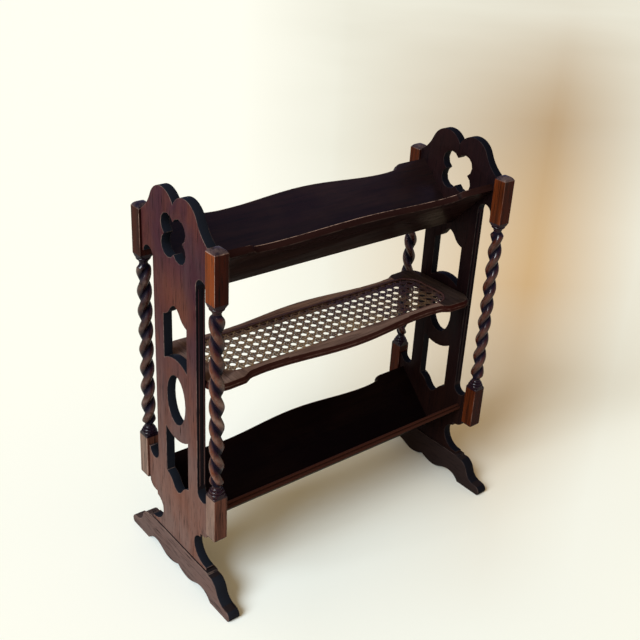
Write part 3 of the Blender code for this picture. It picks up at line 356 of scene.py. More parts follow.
def wood_grain_group():
    """Grain that runs along X of its vector: streaks, open pores and pale clouds."""
    name = "bookcase wood grain"
    if name in bpy.data.node_groups:
        return bpy.data.node_groups[name]
    tree, given, result = new_group(
        name,
        (("Vector", 'vector', None), ("Dark", 'colour', (0, 0, 0, 1)),
         ("Body", 'colour', (0.1, 0.04, 0.02, 1)), ("Light", 'colour', (0.2, 0.1, 0.06, 1)),
         ("Streaks", 'number', 0.6), ("Clouds", 'number', 0.6), ("Pores", 'number', 0.5)),
        (("Colour", 'colour'), ("Roughness", 'number'), ("Height", 'number')))
    vector = given.outputs["Vector"]
    streak = noise(tree, stretched(tree, vector, (7, 170, 170)), 6, 0.6, distortion=0.35)
    fine = noise(tree, stretched(tree, vector, (22, 520, 520)), 3, 0.6)
    cloud = noise(tree, stretched(tree, vector, (6.5, 15, 15)), 4, 0.6, distortion=0.6)
    figure = add(tree, 'ShaderNodeTexWave',
                 {'Vector': stretched(tree, vector, (0.8, 7, 7)), 'Scale': 1.6, 'Distortion': 7.0,
                  'Detail': 3.0, 'Detail Scale': 1.1, 'Detail Roughness': 0.55},
                 bands_direction='Y').outputs['Fac']
    line = times(tree, spread(tree, streak, 0.44, 0.66), given.outputs["Streaks"])
    ring = times(tree, figure, 0.5, given.outputs["Streaks"])
    pore = times(tree, spread(tree, fine, 0.57, 0.66), given.outputs["Pores"])
    lit_and_pale = times(tree, spread(tree, cloud, 0.42, 0.68), given.outputs["Clouds"])
    base = mix(tree, lit_and_pale, given.outputs["Body"], given.outputs["Light"])
    base = mix(tree, ring, base, mix(tree, 0.6, base, given.outputs["Dark"]))
    base = mix(tree, line, base, mix(tree, 0.75, base, given.outputs["Dark"]))
    base = mix(tree, pore, base, given.outputs["Dark"])
    tree.links.new(base, result.inputs["Colour"])
    dull = maths(tree, 'ADD', spread(tree, streak, 0.3, 0.7, 0.0, 0.14), times(tree, pore, 0.2))
    dull = maths(tree, 'ADD', dull, spread(tree, cloud, 0.35, 0.7, -0.04, 0.08))
    tree.links.new(dull, result.inputs["Roughness"])
    low = times(tree, maths(tree, 'ADD', pore, times(tree, line, 0.5)), -1.0)
    tree.links.new(low, result.inputs["Height"])
    return tree


def worn_edge_group():
    """Broken wear along arrises, from a mask on the mesh."""
    name = "bookcase worn edge"
    if name in bpy.data.node_groups:
        return bpy.data.node_groups[name]
    tree, given, result = new_group(
        name, (("Vector", 'vector', None), ("Arris", 'number', 0.0), ("Amount", 'number', 0.6)),
        (("Mask", 'number'),))
    broken = noise(tree, given.outputs["Vector"], 4, 0.65, scale=70)
    broad = noise(tree, given.outputs["Vector"], 2, 0.5, scale=11)
    patchy = times(tree, spread(tree, broken, 0.36, 0.62), spread(tree, broad, 0.32, 0.58, 0.25, 1.0),
                   given.outputs["Arris"])
    mask = maths(tree, 'MULTIPLY', patchy, given.outputs["Amount"], clamp=True)
    tree.links.new(mask, result.inputs["Mask"])
    return tree


GRAIN_TURNS = {'X': (0, 0, 0), 'Y': (0, 0, math.pi / 2), 'Z': (0, math.pi / 2, 0)}


def toned(tone, tint):
    return [tone * c for c in tint]


def wood(name, body, light, grain, shift, *, rough, streaks, clouds, pores, wear, shine, sheen=(1, 1, 1),
         low=None, low_span=PANEL_LOW_SPAN, shading_tone=None, lit_and_pale=0.0, shaded=0.0, shading_share=0.0, painted_light_pools=()):
    """Polished old wood with its grain along X, Y or Z.

    Down its low span the wood turns to its low colour. Where the mesh is marked lit_and_pale, on the sides
    that face the light, it takes the light colour by the share lit_and_pale: painted light. Where it is
    marked arris it is worn, on the posts and panels partly a painted highlight. Where it is marked
    painted_shading it
    takes the shading tone by shading_share: painted shade in hollows, cut faces and turned edges, and
    painted light on the tops of the trough boards. Where it is marked polish it has a coat. Faces that
    aren't marked lit are darkened by shaded, a painted shade. sheen is the colour of the wax. A painted
    pool of light is a place, a reach and the share of the light colour in its middle.
    """
    made, tree = new_material(name + " wood")
    place = add(tree, 'ShaderNodeTexCoord').outputs['Object']
    along = add(tree, 'ShaderNodeMapping', {'Vector': place, 'Rotation': GRAIN_TURNS[grain],
                                            'Location': shift}).outputs[0]
    mark = marked(tree, "lit_and_pale")
    lowness = 0.0
    body = (*body, 1)
    if low:
        lowness = spread(tree, split(tree, place)[2], *low_span)
        unlit = (*(share * c for share, c in zip(LOW_UNLIT, low)), 1)
        body = mix(tree, lowness, body, mix(tree, mark, unlit, (*low, 1)))
    # Painted pools of light
    for spot, reach, share in painted_light_pools:
        off = add(tree, 'ShaderNodeVectorMath', {0: place, 1: spot}, operation='DISTANCE').outputs['Value']
        body = mix(tree, spread(tree, off, reach, 0.0, 0.0, share), body, (*light, 1))
    # Painted shade: faces that aren't marked lit turn towards the grain colour, and their rubbed patches
    # weaken
    if shaded:
        turned_away = times(tree, maths(tree, 'SUBTRACT', 1.0, mark), shaded)
        body = mix(tree, turned_away, body, (*finish().grain_and_shade, 1))
    # Painted light: faces marked lit take the light colour
    painted_light_share = times(tree, mark, lit_and_pale, maths(tree, 'SUBTRACT', 1.0, lowness))
    patches = times(tree, spread(tree, mark, 0, 1, 1 - shaded, 1), clouds)
    grown = add(tree, 'ShaderNodeGroup',
                {"Vector": along, "Dark": (*finish().grain_and_shade, 1), "Light": (*light, 1), "Streaks": streaks,
                 "Body": mix(tree, painted_light_share, body, (*light, 1)), "Clouds": patches, "Pores": pores},
                node_tree=wood_grain_group())
    worn = add(tree, 'ShaderNodeGroup', {"Vector": place, "Arris": marked(tree, "arris"), "Amount": wear},
               node_tree=worn_edge_group())
    shade = grown.outputs["Colour"]
    # Painted shade in hollows, cut faces and turned edges, and painted light on the tops of the trough
    # boards
    if shading_share:
        shade = mix(tree, times(tree, marked(tree, "painted_shading"), shading_share), shade, (*(shading_tone or finish().grain_and_shade), 1))
    shade = mix(tree, worn.outputs["Mask"], shade, (*finish().bare, 1))
    gloss = maths(tree, 'ADD', grown.outputs["Roughness"], rough)
    bump = add(tree, 'ShaderNodeBump', {'Strength': 0.22, 'Distance': 0.0004,
                                        'Height': grown.outputs["Height"]}).outputs[0]
    surface(tree, {'Base Color': shade, 'Roughness': gloss, 'Normal': bump, 'Specular IOR Level': shine,
                   'Specular Tint': (*sheen, 1), 'Coat Roughness': 0.10,
                   'Coat Weight': marked(tree, "polish")})
    return made


# Mesh building

def settle(name, bm, material, slot, *nodes, smooth_angle):
    """Finish a mesh as a piece of the object that stands for CAD nodes."""
    mesh = bpy.data.meshes.new(name)
    bm.to_mesh(mesh)
    bm.free()
    mesh.materials.append(material)
    mesh.shade_smooth()
    mesh.set_sharp_from_angle(angle=math.radians(smooth_angle))
    thing = bpy.data.objects.new(name, mesh)
    bpy.context.scene.collection.objects.link(thing)
    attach(thing, "root")
    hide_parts(*nodes)


def spread_out(value, low, high):
    """Share of the way from low to high, within 0 to 1."""
    return min(1.0, max(0.0, (value - low) / (high - low)))


def copied(node):
    """Merged copy of a CAD node's mesh, its flat faces whole again."""
    bm = bmesh.new()
    bm.from_mesh(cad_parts[node].data)
    bmesh.ops.remove_doubles(bm, verts=bm.verts, dist=MERGE_REACH)
    bmesh.ops.dissolve_limit(bm, angle_limit=math.radians(FLAT_ANGLE), verts=bm.verts, edges=bm.edges)
    return bm


def ease(bm, test, width, segments=2, least=48):
    """Round the sharp edges that pass a test, and mark the new faces as arris."""
    arris = bm.faces.layers.float.get("arris") or bm.faces.layers.float.new("arris")
    chosen = [edge for edge in bm.edges
              if len(edge.link_faces) == 2 and edge.calc_face_angle(0) > math.radians(least)
              and test(edge)]
    made = bmesh.ops.bevel(bm, geom=chosen, offset=width, offset_type='OFFSET', segments=segments,
                           profile=0.5, affect='EDGES', clamp_overlap=False, material=-1)
    for face in made["faces"]:
        face[arris] = 1.0


def mark_faces(bm, side, behind=None):
    """Mark the outer broad face of an upright board as lit, for painted light, and its cut faces for
    painted shade.

    On a foot, the cut faces of the back half and those that don't look to the front get painted shade only
    by behind, and the back of the left foot's top is marked lit: painted light. On a panel the straight
    outer edges get less painted shade, and at the right end they are marked partly lit, painted light that
    makes them browner.
    """
    lit_and_pale = bm.faces.layers.float.new("lit_and_pale")
    painted_shading = bm.faces.layers.float.new("painted_shading")
    for face in bm.faces:
        face.normal_update()
        # Painted light: the outer broad face is marked lit
        face[lit_and_pale] = max(0.0, side * face.normal.x) ** 2
        if abs(face.normal.x) > 0.5:
            continue
        place = face.calc_center_median().y
        # Painted shade on the cut faces
        face[painted_shading] = 1.0
        if behind is not None:
            if place > 0 or face.normal.y > -0.2:
                face[painted_shading] = behind
            # Painted light on the back of the left foot's top
            if side < 0 < place and face.normal.z > 0.2:
                face[lit_and_pale] = FOOT_TOP_LIT
        elif abs(face.normal.y) > 0.995 and abs(place) > PANEL_JAMB:
            face[painted_shading] = OUTER_EDGE_SHADE
            # At the right end, painted light browns the straight outer edges
            if side > 0:
                face[lit_and_pale] = OUTER_EDGE_LIT


def spans(edge, place, thick):
    """Whether an edge of an upright board bounds a side that goes from one broad face to the other."""
    inner, outer = place - thick / 2, place + thick / 2
    near = 0.0001

    def on(vertex, level):
        return abs(vertex.co.x - level) < near
    for level in (inner, outer):
        if all(on(v, level) for v in edge.verts):
            return any(any(on(v, inner) for v in face.verts) and any(on(v, outer) for v in face.verts)
                       for face in edge.link_faces)
    ends = edge.verts
    return (on(ends[0], inner) and on(ends[1], outer)) or (on(ends[0], outer) and on(ends[1], inner))


class BOOKCASE_OT_end_panels(bpy.types.Operator):
    """Fretted end panels with worn arrises"""
    bl_idname = "bookcase.end_panels"
    bl_label = "End panels"

    def execute(self, context):
        tint = finish()
        for end, side in ENDS:
            node = end + "_end_panel"
            place = side * PANEL_PLACE
            bm = copied(node)
            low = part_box(node)[0].z + PANEL_SEATED
            ease(bm, lambda edge: spans(edge, place, PANEL_THICK) and max(v.co.z for v in edge.verts) > low,
                 sizes().arris)
            mark_faces(bm, side)
            outside = place + side * PANEL_THICK / 2
            spots = [((outside, y, z), reach, share) for y, z, reach, share in PANEL_LIGHT_POOLS]
            stain = wood(node, tint.panel_body, tint.panel_rubbed_and_lit, 'Z', (side * 3.1, 1.7, 0.4),
                         low=tint.panel_low, shading_tone=toned(CUT_FACE_SHADE[end], tint.panel_cut_shade),
                         rough=0.34, streaks=0.24, clouds=0.45, pores=0.9, wear=EDGE_WEAR_AND_GLINT[end], shine=0.05,
                         sheen=(0.85, 0.70, 0.90), shaded=0.9, shading_share=0.85, painted_light_pools=spots)
            settle("fretted_" + node, bm, stain, "panel_wood", node, smooth_angle=35)
        return {'FINISHED'}


class BOOKCASE_OT_feet(bpy.types.Operator):
    """Sledge feet with worn toes"""
    bl_idname = "bookcase.feet"
    bl_label = "Feet"

    def execute(self, context):
        tint = finish()
        for end, side in ENDS:
            node = end + "_foot"
            place = side * PANEL_PLACE
            bm = copied(node)
            ease(bm, lambda edge: spans(edge, place, FOOT_THICK)
                 and max(v.co.z for v in edge.verts) > NEAR_FLOOR, 1.4 * sizes().arris)
            mark_faces(bm, side, behind=FOOT_BEHIND_SHADE)
            stain = wood(node, tint.foot_body, tint.panel_rubbed_and_lit, 'Y', (side * 1.3, 0.2, 2.4),
                         shading_tone=toned(CUT_FACE_SHADE[end], tint.panel_cut_shade), rough=0.38, streaks=0.15,
                         clouds=0.10, pores=1.0, wear=EDGE_WEAR_AND_GLINT[end], shine=0.06, sheen=(0.85, 0.75, 0.90),
                         shaded=0.85, shading_share=0.8)
            settle("sledge_" + node, bm, stain, "panel_wood", node, smooth_angle=35)
        return {'FINISHED'}


def swept(stops, start, rise, rows):
    """Rows of (height, radius share) along a turned profile, with swells between its stops."""
    made = []
    for (low, a, _), (high, b, swell) in zip(stops, stops[1:]):
        for i in range(rows):
            t = i / rows
            made.append((start + rise * (low + (high - low) * t),
                         a + (b - a) * t + swell * 4 * t * (1 - t)))
    made.append((start + rise * stops[-1][0], stops[-1][1]))
    return made


def post_rows(hand, start_angle):
    """Rows of a post from its foot to its cap, as height, reach by angle, squareness and kind.

    With them go the radii of the twist's crests and valleys and of the corners of the blocks.
    """
    size = sizes()
    half = POST_HALF
    corner = math.sqrt(2) * half - 0.7 * size.arris

    def square(angle):
        return half / max(abs(math.cos(angle)), abs(math.sin(angle)))

    def block(limit):
        return lambda angle: min(square(angle), limit)

    def cushion(width, power):
        return lambda angle: min(width * half / (abs(math.cos(angle)) ** power
                                                 + abs(math.sin(angle)) ** power) ** (1 / power), corner)

    low = LOWER_BLOCK_TOP + LOWER_TURNING
    high = UPPER_BLOCK_BOTTOM - UPPER_TURNING
    twelfths = round((high - low) / size.turn_length * TURNS_PER_CIRCLE)
    total = hand * twelfths / TURNS_PER_CIRCLE * 2 * math.pi
    crest = size.strand_offset + size.strand_radius
    valley = math.sqrt(size.strand_radius ** 2 - size.strand_offset ** 2)

    def strands(height):
        grown = min(1.0, (height - low) / size.run_in, (high - height) / size.run_in)
        grown = grown * grown * (3 - 2 * grown)
        turned = start_angle + total * (height - low) / (high - low)

        def reach(angle):
            bearing = angle - turned
            out = (size.strand_offset * abs(math.cos(bearing))
                   + math.sqrt(size.strand_radius ** 2 - (size.strand_offset * math.sin(bearing)) ** 2))
            return size.neck_radius + (out - size.neck_radius) * grown
        return reach

    rows = []
    for rise, width, power in HEEL_PROFILE:
        rows.append((POST_BOTTOM + HEEL_RISE * rise, cushion(width, power), SQUARENESS, 'cap'))
    heel = POST_BOTTOM + HEEL_RISE
    for height in (heel, heel + BLOCK_ROW, LOWER_BLOCK_TOP - BLOCK_ROW):
        rows.append((height, block(corner), SQUARENESS, 'block'))
    for height, share in swept(LOWER_PROFILE, LOWER_BLOCK_TOP, LOWER_TURNING, TURNING_ROWS):
        rows.append((height, block(min(share * half, corner)), SQUARENESS if share > 1 else 0.0, 'turned'))
    count = round((high - low) / TWIST_ROW)
    for i in range(1, count):
        height = low + (high - low) * i / count
        rows.append((height, strands(height), 0.0, 'twist'))
    upper = swept(UPPER_PROFILE, UPPER_BLOCK_BOTTOM, -UPPER_TURNING, TURNING_ROWS)
    for height, share in reversed(upper):
        rows.append((height, block(min(share * half, corner)), SQUARENESS if share > 1 else 0.0, 'turned'))
    for height in (UPPER_BLOCK_BOTTOM + BLOCK_ROW, UPPER_BLOCK_TOP - BLOCK_ROW, UPPER_BLOCK_TOP):
        rows.append((height, block(corner), SQUARENESS, 'block'))
    rows[-1] = (*rows[-1][:3], 'rim')
    for rise, width, power in CAP_PROFILE:
        rows.append((UPPER_BLOCK_TOP + CAP_RISE * rise, cushion(width, power), SQUARENESS, 'cap'))
    return rows, crest, valley, corner


def tube(rows, segments):
    """Open tube of unit radius, one ring for each row at heights 0, 1, 2 and so on."""
    bm = bmesh.new()
    made = bmesh.ops.create_circle(bm, cap_ends=False, radius=1, segments=segments)
    ring = list(made["verts"]) + [e for v in made["verts"] for e in v.link_edges]
    bmesh.ops.spin(bm, geom=list(dict.fromkeys(ring)), cent=(0, 0, 0), axis=(0, 0, 1), dvec=(0, 0, 1),
                   angle=0, steps=rows - 1, use_merge=False, use_normal_flip=False, use_duplicate=False)
    return bm


class BOOKCASE_OT_posts(bpy.types.Operator):
    """Posts with their blocks, rings and double barley twists"""
    bl_idname = "bookcase.posts"
    bl_label = "Posts"

    def execute(self, context):
        tint = finish()
        for end, side in ENDS:
            for way, face in WAYS:
                rows, crest, valley, corner = post_rows(-side * face, math.radians(TWIST_STARTS[way, end]))
                bm = tube(len(rows), POST_SEGMENTS)
                arris = bm.verts.layers.float.new("arris")
                painted_shading = bm.verts.layers.float.new("painted_shading")
                polish = bm.verts.layers.float.new("polish")
                for vertex in bm.verts:
                    height, reach, squareness, kind = rows[round(vertex.co.z)]
                    angle = math.atan2(vertex.co.y, vertex.co.x)
                    angle += squareness * math.sin(4 * angle) / 4
                    radius = reach(angle)
                    if kind == 'twist':
                        rise = (radius - valley) / (crest - valley)
                        # Painted shade in the valleys of the twist
                        vertex[painted_shading] = spread_out(rise, *VALLEY_SHADE_SPAN)
                        vertex[polish] = CREST_POLISH * spread_out(rise, *CREST_SPAN)
                        # Pale crests: wear and partly a painted highlight
                        vertex[arris] = TWIST_WEAR_AND_GLINT[way, end] * max(0.0, rise) ** 5
                    else:
                        vertex[painted_shading], vertex[polish], vertex[arris] = POST_MARKS[kind]
                        if radius > 0.999 * corner or kind == 'rim':
                            vertex[arris] = RING_WEAR if kind == 'turned' else BLOCK_WEAR_AND_GLINT[end]
                    vertex.co = Vector((side * PANEL_PLACE + radius * math.cos(angle),
                                        face * POST_OFFSET + radius * math.sin(angle), height))
                bmesh.ops.holes_fill(bm, edges=[e for e in bm.edges if e.is_boundary], sides=0)
                bmesh.ops.recalc_face_normals(bm, faces=bm.faces)
                # Painted light: faces that look towards the light on the left are marked lit, less on the
                # twist
                lit_and_pale = bm.faces.layers.float.new("lit_and_pale")
                for piece in bm.faces:
                    height = piece.calc_center_median().z
                    lit, least = LOWER_BLOCK_LIT[end], 0.0
                    if height > UPPER_BLOCK_BOTTOM:
                        lit = 1.0
                    elif height > LOWER_BLOCK_TOP:
                        lit, least = TWIST_LIT, TWIST_LEAST_LIT
                    piece[lit_and_pale] = lit * max(least, -piece.normal.x) ** 1.5
                node = "post_%s_%s" % (way, end)
                stain = wood(node, tint.post_body, tint.post_light, 'Z',
                             (side * 2.3, face * 1.9, 0.7), low=tint.post_low if end == "left" else None,
                             low_span=(LOWER_BLOCK_TOP + 0.001, LOWER_BLOCK_TOP), shading_tone=tint.post_hollow_shade,
                             rough=0.12, streaks=0.8, clouds=0.10, pores=0.8, wear=0.75, shine=0.10,
                             sheen=(1, 0.72, 0.6), lit_and_pale=POST_LIT_SHARE[way, end], shading_share=0.97)
                settle("twisted_" + node, bm, stain, "post_wood", node, smooth_angle=50)
        return {'FINISHED'}


class BOOKCASE_OT_troughs(bpy.types.Operator):
    """Boards of the two troughs"""
    bl_idname = "bookcase.troughs"
    bl_label = "Troughs"

    def execute(self, context):
        tint = finish()
        for level, shift in (("upper", 0.0), ("lower", 5.3)):
            for way, face in WAYS:
                node = "%s_trough_%s_board" % (level, way)
                bm = copied(node)
                if node != "lower_trough_front_board":
                    ease(bm, lambda edge: min(abs(v.co.y) for v in edge.verts) > TROUGH_SEAM
                         and max(abs(v.co.x) for v in edge.verts) < TROUGH_SHOWN, 1.6 * sizes().arris)
                    arris = bm.faces.layers.float["arris"]
                    painted_shading = bm.faces.layers.float.new("painted_shading")
                    for piece in bm.faces:
                        piece.normal_update()
                        if piece[arris]:
                            piece[arris] = BOARD_WEAR if piece.normal.z < 0.9 else LIP_WEAR[way]
                        # Painted light: the top edges take the lip colour
                        elif piece.normal.z > 0.5 and piece.normal.y * face > 0.3:
                            piece[painted_shading] = BOARD_TOP_LIT
                else:
                    # Painted light on the reeds of the lip
                    painted_shading = bm.faces.layers.float.new("painted_shading")
                    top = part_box(node)[1].z
                    for piece in bm.faces:
                        middle = piece.calc_center_median()
                        piece[painted_shading] = float(middle.z > top - LIP_DEPTH and piece.calc_area() < LIP_FACE)
                body = toned(TROUGH_SHADE_TONE[level], tint.board_body)
                light = toned(TROUGH_SHADE_TONE[level], tint.board_light)
                stain = wood(node, body, light, 'X', (0.3 + shift, face * 2.2, 1.1),
                             shading_tone=tint.board_lip_lit, rough=0.26, streaks=0.6, clouds=0.7, pores=0.5,
                             shading_share=0.8, wear=0.8, shine=TROUGH_SHINE[level, way], sheen=TROUGH_SHEEN[way])
                settle("shaped_" + node, bm, stain, "board_wood", node, smooth_angle=35)
        return {'FINISHED'}


class BOOKCASE_OT_shelf(bpy.types.Operator):
    """Rails of the shelf, with their moulded edge"""
    bl_idname = "bookcase.shelf"
    bl_label = "Shelf rails"

    def execute(self, context):
        tint = finish()
        for node, grain, shift, tone in SHELF_RAILS:
            bm = copied(node)

            def outside(edge):
                middle = (edge.verts[0].co + edge.verts[1].co) / 2
                x, y = abs(middle.x), abs(middle.y)
                if y <= SHELF_OUTER_Y and x <= SHELF_OUTER_X:
                    return False
                if grain == 'X':
                    return x < LONG_RAIL_SHOWN
                return x > END_RAIL_START and not (x > SHELF_TENON_X and y < SHELF_TENON_HALF)
            ease(bm, outside, sizes().moulding, least=25)
            # Painted shade on the faces of the moulded edge that turn from the top
            painted_shading = bm.faces.layers.float.new("painted_shading")
            for piece in bm.faces:
                piece.normal_update()
                piece[painted_shading] = spread_out(piece.normal.z, 0.95, 0.7)
            stain = wood(node, toned(tone, tint.shelf_body), toned(tone, tint.shelf_light), grain,
                         (shift, 0.9, 0.3), shading_tone=tint.shelf_edge_shade, rough=0.36, streaks=0.6, clouds=0.8,
                         pores=0.6, wear=0.25, shine=0.04, sheen=(1, 0.8, 0.7), shading_share=0.95)
            settle("moulded_" + node, bm, stain, "shelf_wood", node, smooth_angle=40)
        return {'FINISHED'}


def cane_material(name):
    """Split cane: long fibres, aged stretches, painted shade towards the right and the back and under the
    crossings, and a slight gloss.
    """
    tint = finish()
    made, tree = new_material(name)
    place = add(tree, 'ShaderNodeTexCoord').outputs['Object']
    fine = noise(tree, stretched(tree, marked(tree, "fibre", 'Vector'), (40, 2600, 1)), 3, 0.6)
    blotch = noise(tree, place, 3, 0.6, scale=26)
    old = maths(tree, 'ADD', spread(tree, blotch, 0.35, 0.7), times(tree, marked(tree, "strand"), 0.6))
    # Painted shade: the cane darkens towards the right and the back
    x, y, _ = split(tree, place)
    far = maths(tree, 'ADD', spread(tree, x, *CANE_SHADE_SPAN["length"]),
                spread(tree, y, *CANE_SHADE_SPAN["width"], 0.0, 0.4))
    old = maths(tree, 'MULTIPLY', maths(tree, 'ADD', old, times(tree, far, 1.1)), 0.55, clamp=True)
    shade = mix(tree, old, (*tint.cane, 1), (*tint.cane_aged_and_shaded, 1))
    shade = mix(tree, spread(tree, fine, 0.50, 0.68, 0.0, 0.55), shade, (*tint.cane_aged_and_shaded, 1))
    # Painted shade under the crossings and at the edges of the strands
    shade = mix(tree, marked(tree, "shading_tone"), shade, (*tint.cane_under_shade, 1))
    gloss = spread(tree, fine, 0.3, 0.7, 0.34, 0.52)
    bump = add(tree, 'ShaderNodeBump', {'Strength': 0.3, 'Distance': 0.0002, 'Height': fine}).outputs[0]
    surface(tree, {'Base Color': shade, 'Roughness': gloss, 'Normal': bump, 'Coat Weight': 0.15,
                   'Coat Roughness': 0.3})
    return made


def cane_runs():
    """Strands of the six-way weave as (start, end, kind, side): pairs both ways and two diagonals."""
    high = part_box("cane_panel")[1]
    far_u, far_v = high.x - CANE_TUCKED, high.y - CANE_TUCKED
    radius = CANE_CORNER
    pitch = sizes().cane_spacing

    def inside(u, v):
        u, v = abs(u), abs(v)
        if u > far_u or v > far_v:
            return False
        return (u < far_u - radius or v < far_v - radius
                or math.hypot(u - far_u + radius, v - far_v + radius) < radius)

    def cut(point, heading, reach):
        places = []
        for i in range(CUT_STEPS + 1):
            share = 2 * i / CUT_STEPS - 1
            place = (point[0] + heading[0] * reach * share, point[1] + heading[1] * reach * share)
            if inside(*place):
                places.append(place)
        return (places[0], places[-1]) if len(places) >= LEAST_CUT else None

    columns = math.ceil(far_u / pitch) + 1
    rows = math.ceil(far_v / pitch) + 1
    slope = math.sqrt(0.5)
    runs = []
    for k in range(-columns, columns):
        for side in (-1, 1):
            u = CANE_COLUMN_SHIFT + (k + 0.5) * pitch + side * CANE_PAIR
            runs.append((cut((u, 0), (0, 1), far_v), 'across', side))
    for j in range(-rows, rows):
        for side in (-1, 1):
            v = CANE_ROW_SHIFT + (j + 0.5) * pitch + side * CANE_PAIR
            runs.append((cut((0, v), (1, 0), far_u), 'along', side))
    for n in range(-columns - rows, columns + rows):
        start = CANE_COLUMN_SHIFT - CANE_ROW_SHIFT + (n + 0.5) * pitch
        runs.append((cut((start, 0), (slope, slope), 2 * far_u), 'rising', 1))
        start = CANE_COLUMN_SHIFT + CANE_ROW_SHIFT + (n + 0.5) * pitch
        runs.append((cut((start, 0), (slope, -slope), 2 * far_u), 'falling', -1))
    return [run for run in runs if run[0]]


def over_and_under(kind, side, u, v):
    """Height of a strand's middle over the middle of the weave."""
    pitch = sizes().cane_spacing
    if kind in ('rising', 'falling'):
        return side * DIAGONAL_LIFT * math.cos(2 * math.pi * (u - CANE_COLUMN_SHIFT - pitch / 2) / pitch)
    off = v - CANE_ROW_SHIFT - pitch / 2 if kind == 'across' else u - CANE_COLUMN_SHIFT - pitch / 2
    off -= pitch * math.floor(off / pitch + 0.5)
    if abs(off) < CANE_PAIR:
        wave = math.sin(math.pi / 2 * off / CANE_PAIR)
    else:
        wave = math.copysign(math.cos(math.pi * (abs(off) - CANE_PAIR) / (pitch - 2 * CANE_PAIR)), off)
    return side * WEAVE_LIFT * wave * (1 if kind == 'across' else -1)


class BOOKCASE_OT_cane(bpy.types.Operator):
    """Six-way woven cane of the shelf, and the strip round it"""
    bl_idname = "bookcase.cane"
    bl_label = "Cane"

    def execute(self, context):
        size = sizes()
        low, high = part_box("cane_panel")
        middle = (low.z + high.z) / 2 + size.cane_thick / 2 - CANE_SUNK
        runs = cane_runs()
        draw = random.Random(11)
        groups = {'along': "cane_lengthways", 'across': "cane_crossways", 'rising': "cane_diagonal_rising",
                  'falling': "cane_diagonal_falling"}
        for wanted, name in groups.items():
            bm = bmesh.new()
            strand = bm.verts.layers.float.new("strand")
            shading_tone = bm.verts.layers.float.new("shading_tone")
            fibre = bm.verts.layers.float_vector.new("fibre")
            for (start, end), kind, side in runs:
                if kind != wanted:
                    continue
                swing = DIAGONAL_LIFT if kind in ('rising', 'falling') else WEAVE_LIFT
                run = Vector(end) - Vector(start)
                across = Vector((-run.y, run.x)).normalized()
                tone = draw.random()
                count = max(3, round(run.length / CANE_STEP))
                made = bmesh.ops.create_grid(bm, x_segments=count, y_segments=2, size=0.5)
                for vertex in made["verts"]:
                    share, off = vertex.co.x + 0.5, vertex.co.y
                    spot = Vector(start) + run * share + across * off * size.cane_width
                    lift = over_and_under(kind, side, *(Vector(start) + run * share))
                    crown = CANE_CROWN * (1 - 4 * off * off)
                    # Painted shade where a strand passes under others, and along its edges
                    under = spread_out(lift, 0.6 * swing, -0.5 * swing)
                    vertex[strand] = tone
                    vertex[shading_tone] = min(0.95, 0.90 * under + 2.0 * off * off)
                    vertex[fibre] = Vector((run.length * share + tone * 3, off * size.cane_width, tone))
                    vertex.co = Vector((spot.x, spot.y, middle + lift + crown))
            bmesh.ops.recalc_face_normals(bm, faces=bm.faces)
            flip = [f for f in bm.faces if f.normal.z < 0]
            bmesh.ops.reverse_faces(bm, faces=flip)
            bmesh.ops.solidify(bm, geom=bm.faces[:], thickness=size.cane_thick)
            bmesh.ops.recalc_face_normals(bm, faces=bm.faces)
            settle(name, bm, cane_material(name.replace("_", " ")), "cane", "cane_panel", smooth_angle=50)

        bm = copied("cane_spline")
        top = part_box("cane_spline")[1].z
        ease(bm, lambda edge: min(v.co.z for v in edge.verts) > top - 0.0001, size.moulding, 3)
        strand = bm.verts.layers.float.new("strand")
        for vertex in bm.verts:
            vertex[strand] = 2.0
        settle("rounded_cane_spline", bm, cane_material("cane spline"), "cane", "cane_spline",
               smooth_angle=50)
        return {'FINISHED'}


class BOOKCASE_OT_dowels(bpy.types.Operator):
    """Bare beech of the dowels inside the joints"""
    bl_idname = "bookcase.dowels"
    bl_label = "Dowels"

    def execute(self, context):
        tint = finish()
        bare = wood("dowel", tint.dowel_body, tint.dowel_light, 'Y', (0.1, 0.2, 0.3), rough=0.55,
                    streaks=0.3, clouds=0.4, pores=0.3, wear=0.0, shine=0.3)
        for name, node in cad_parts.items():
            if name.startswith("dowel_"):
                node.data.materials.clear()
                node.data.materials.append(bare)
        return {'FINISHED'}


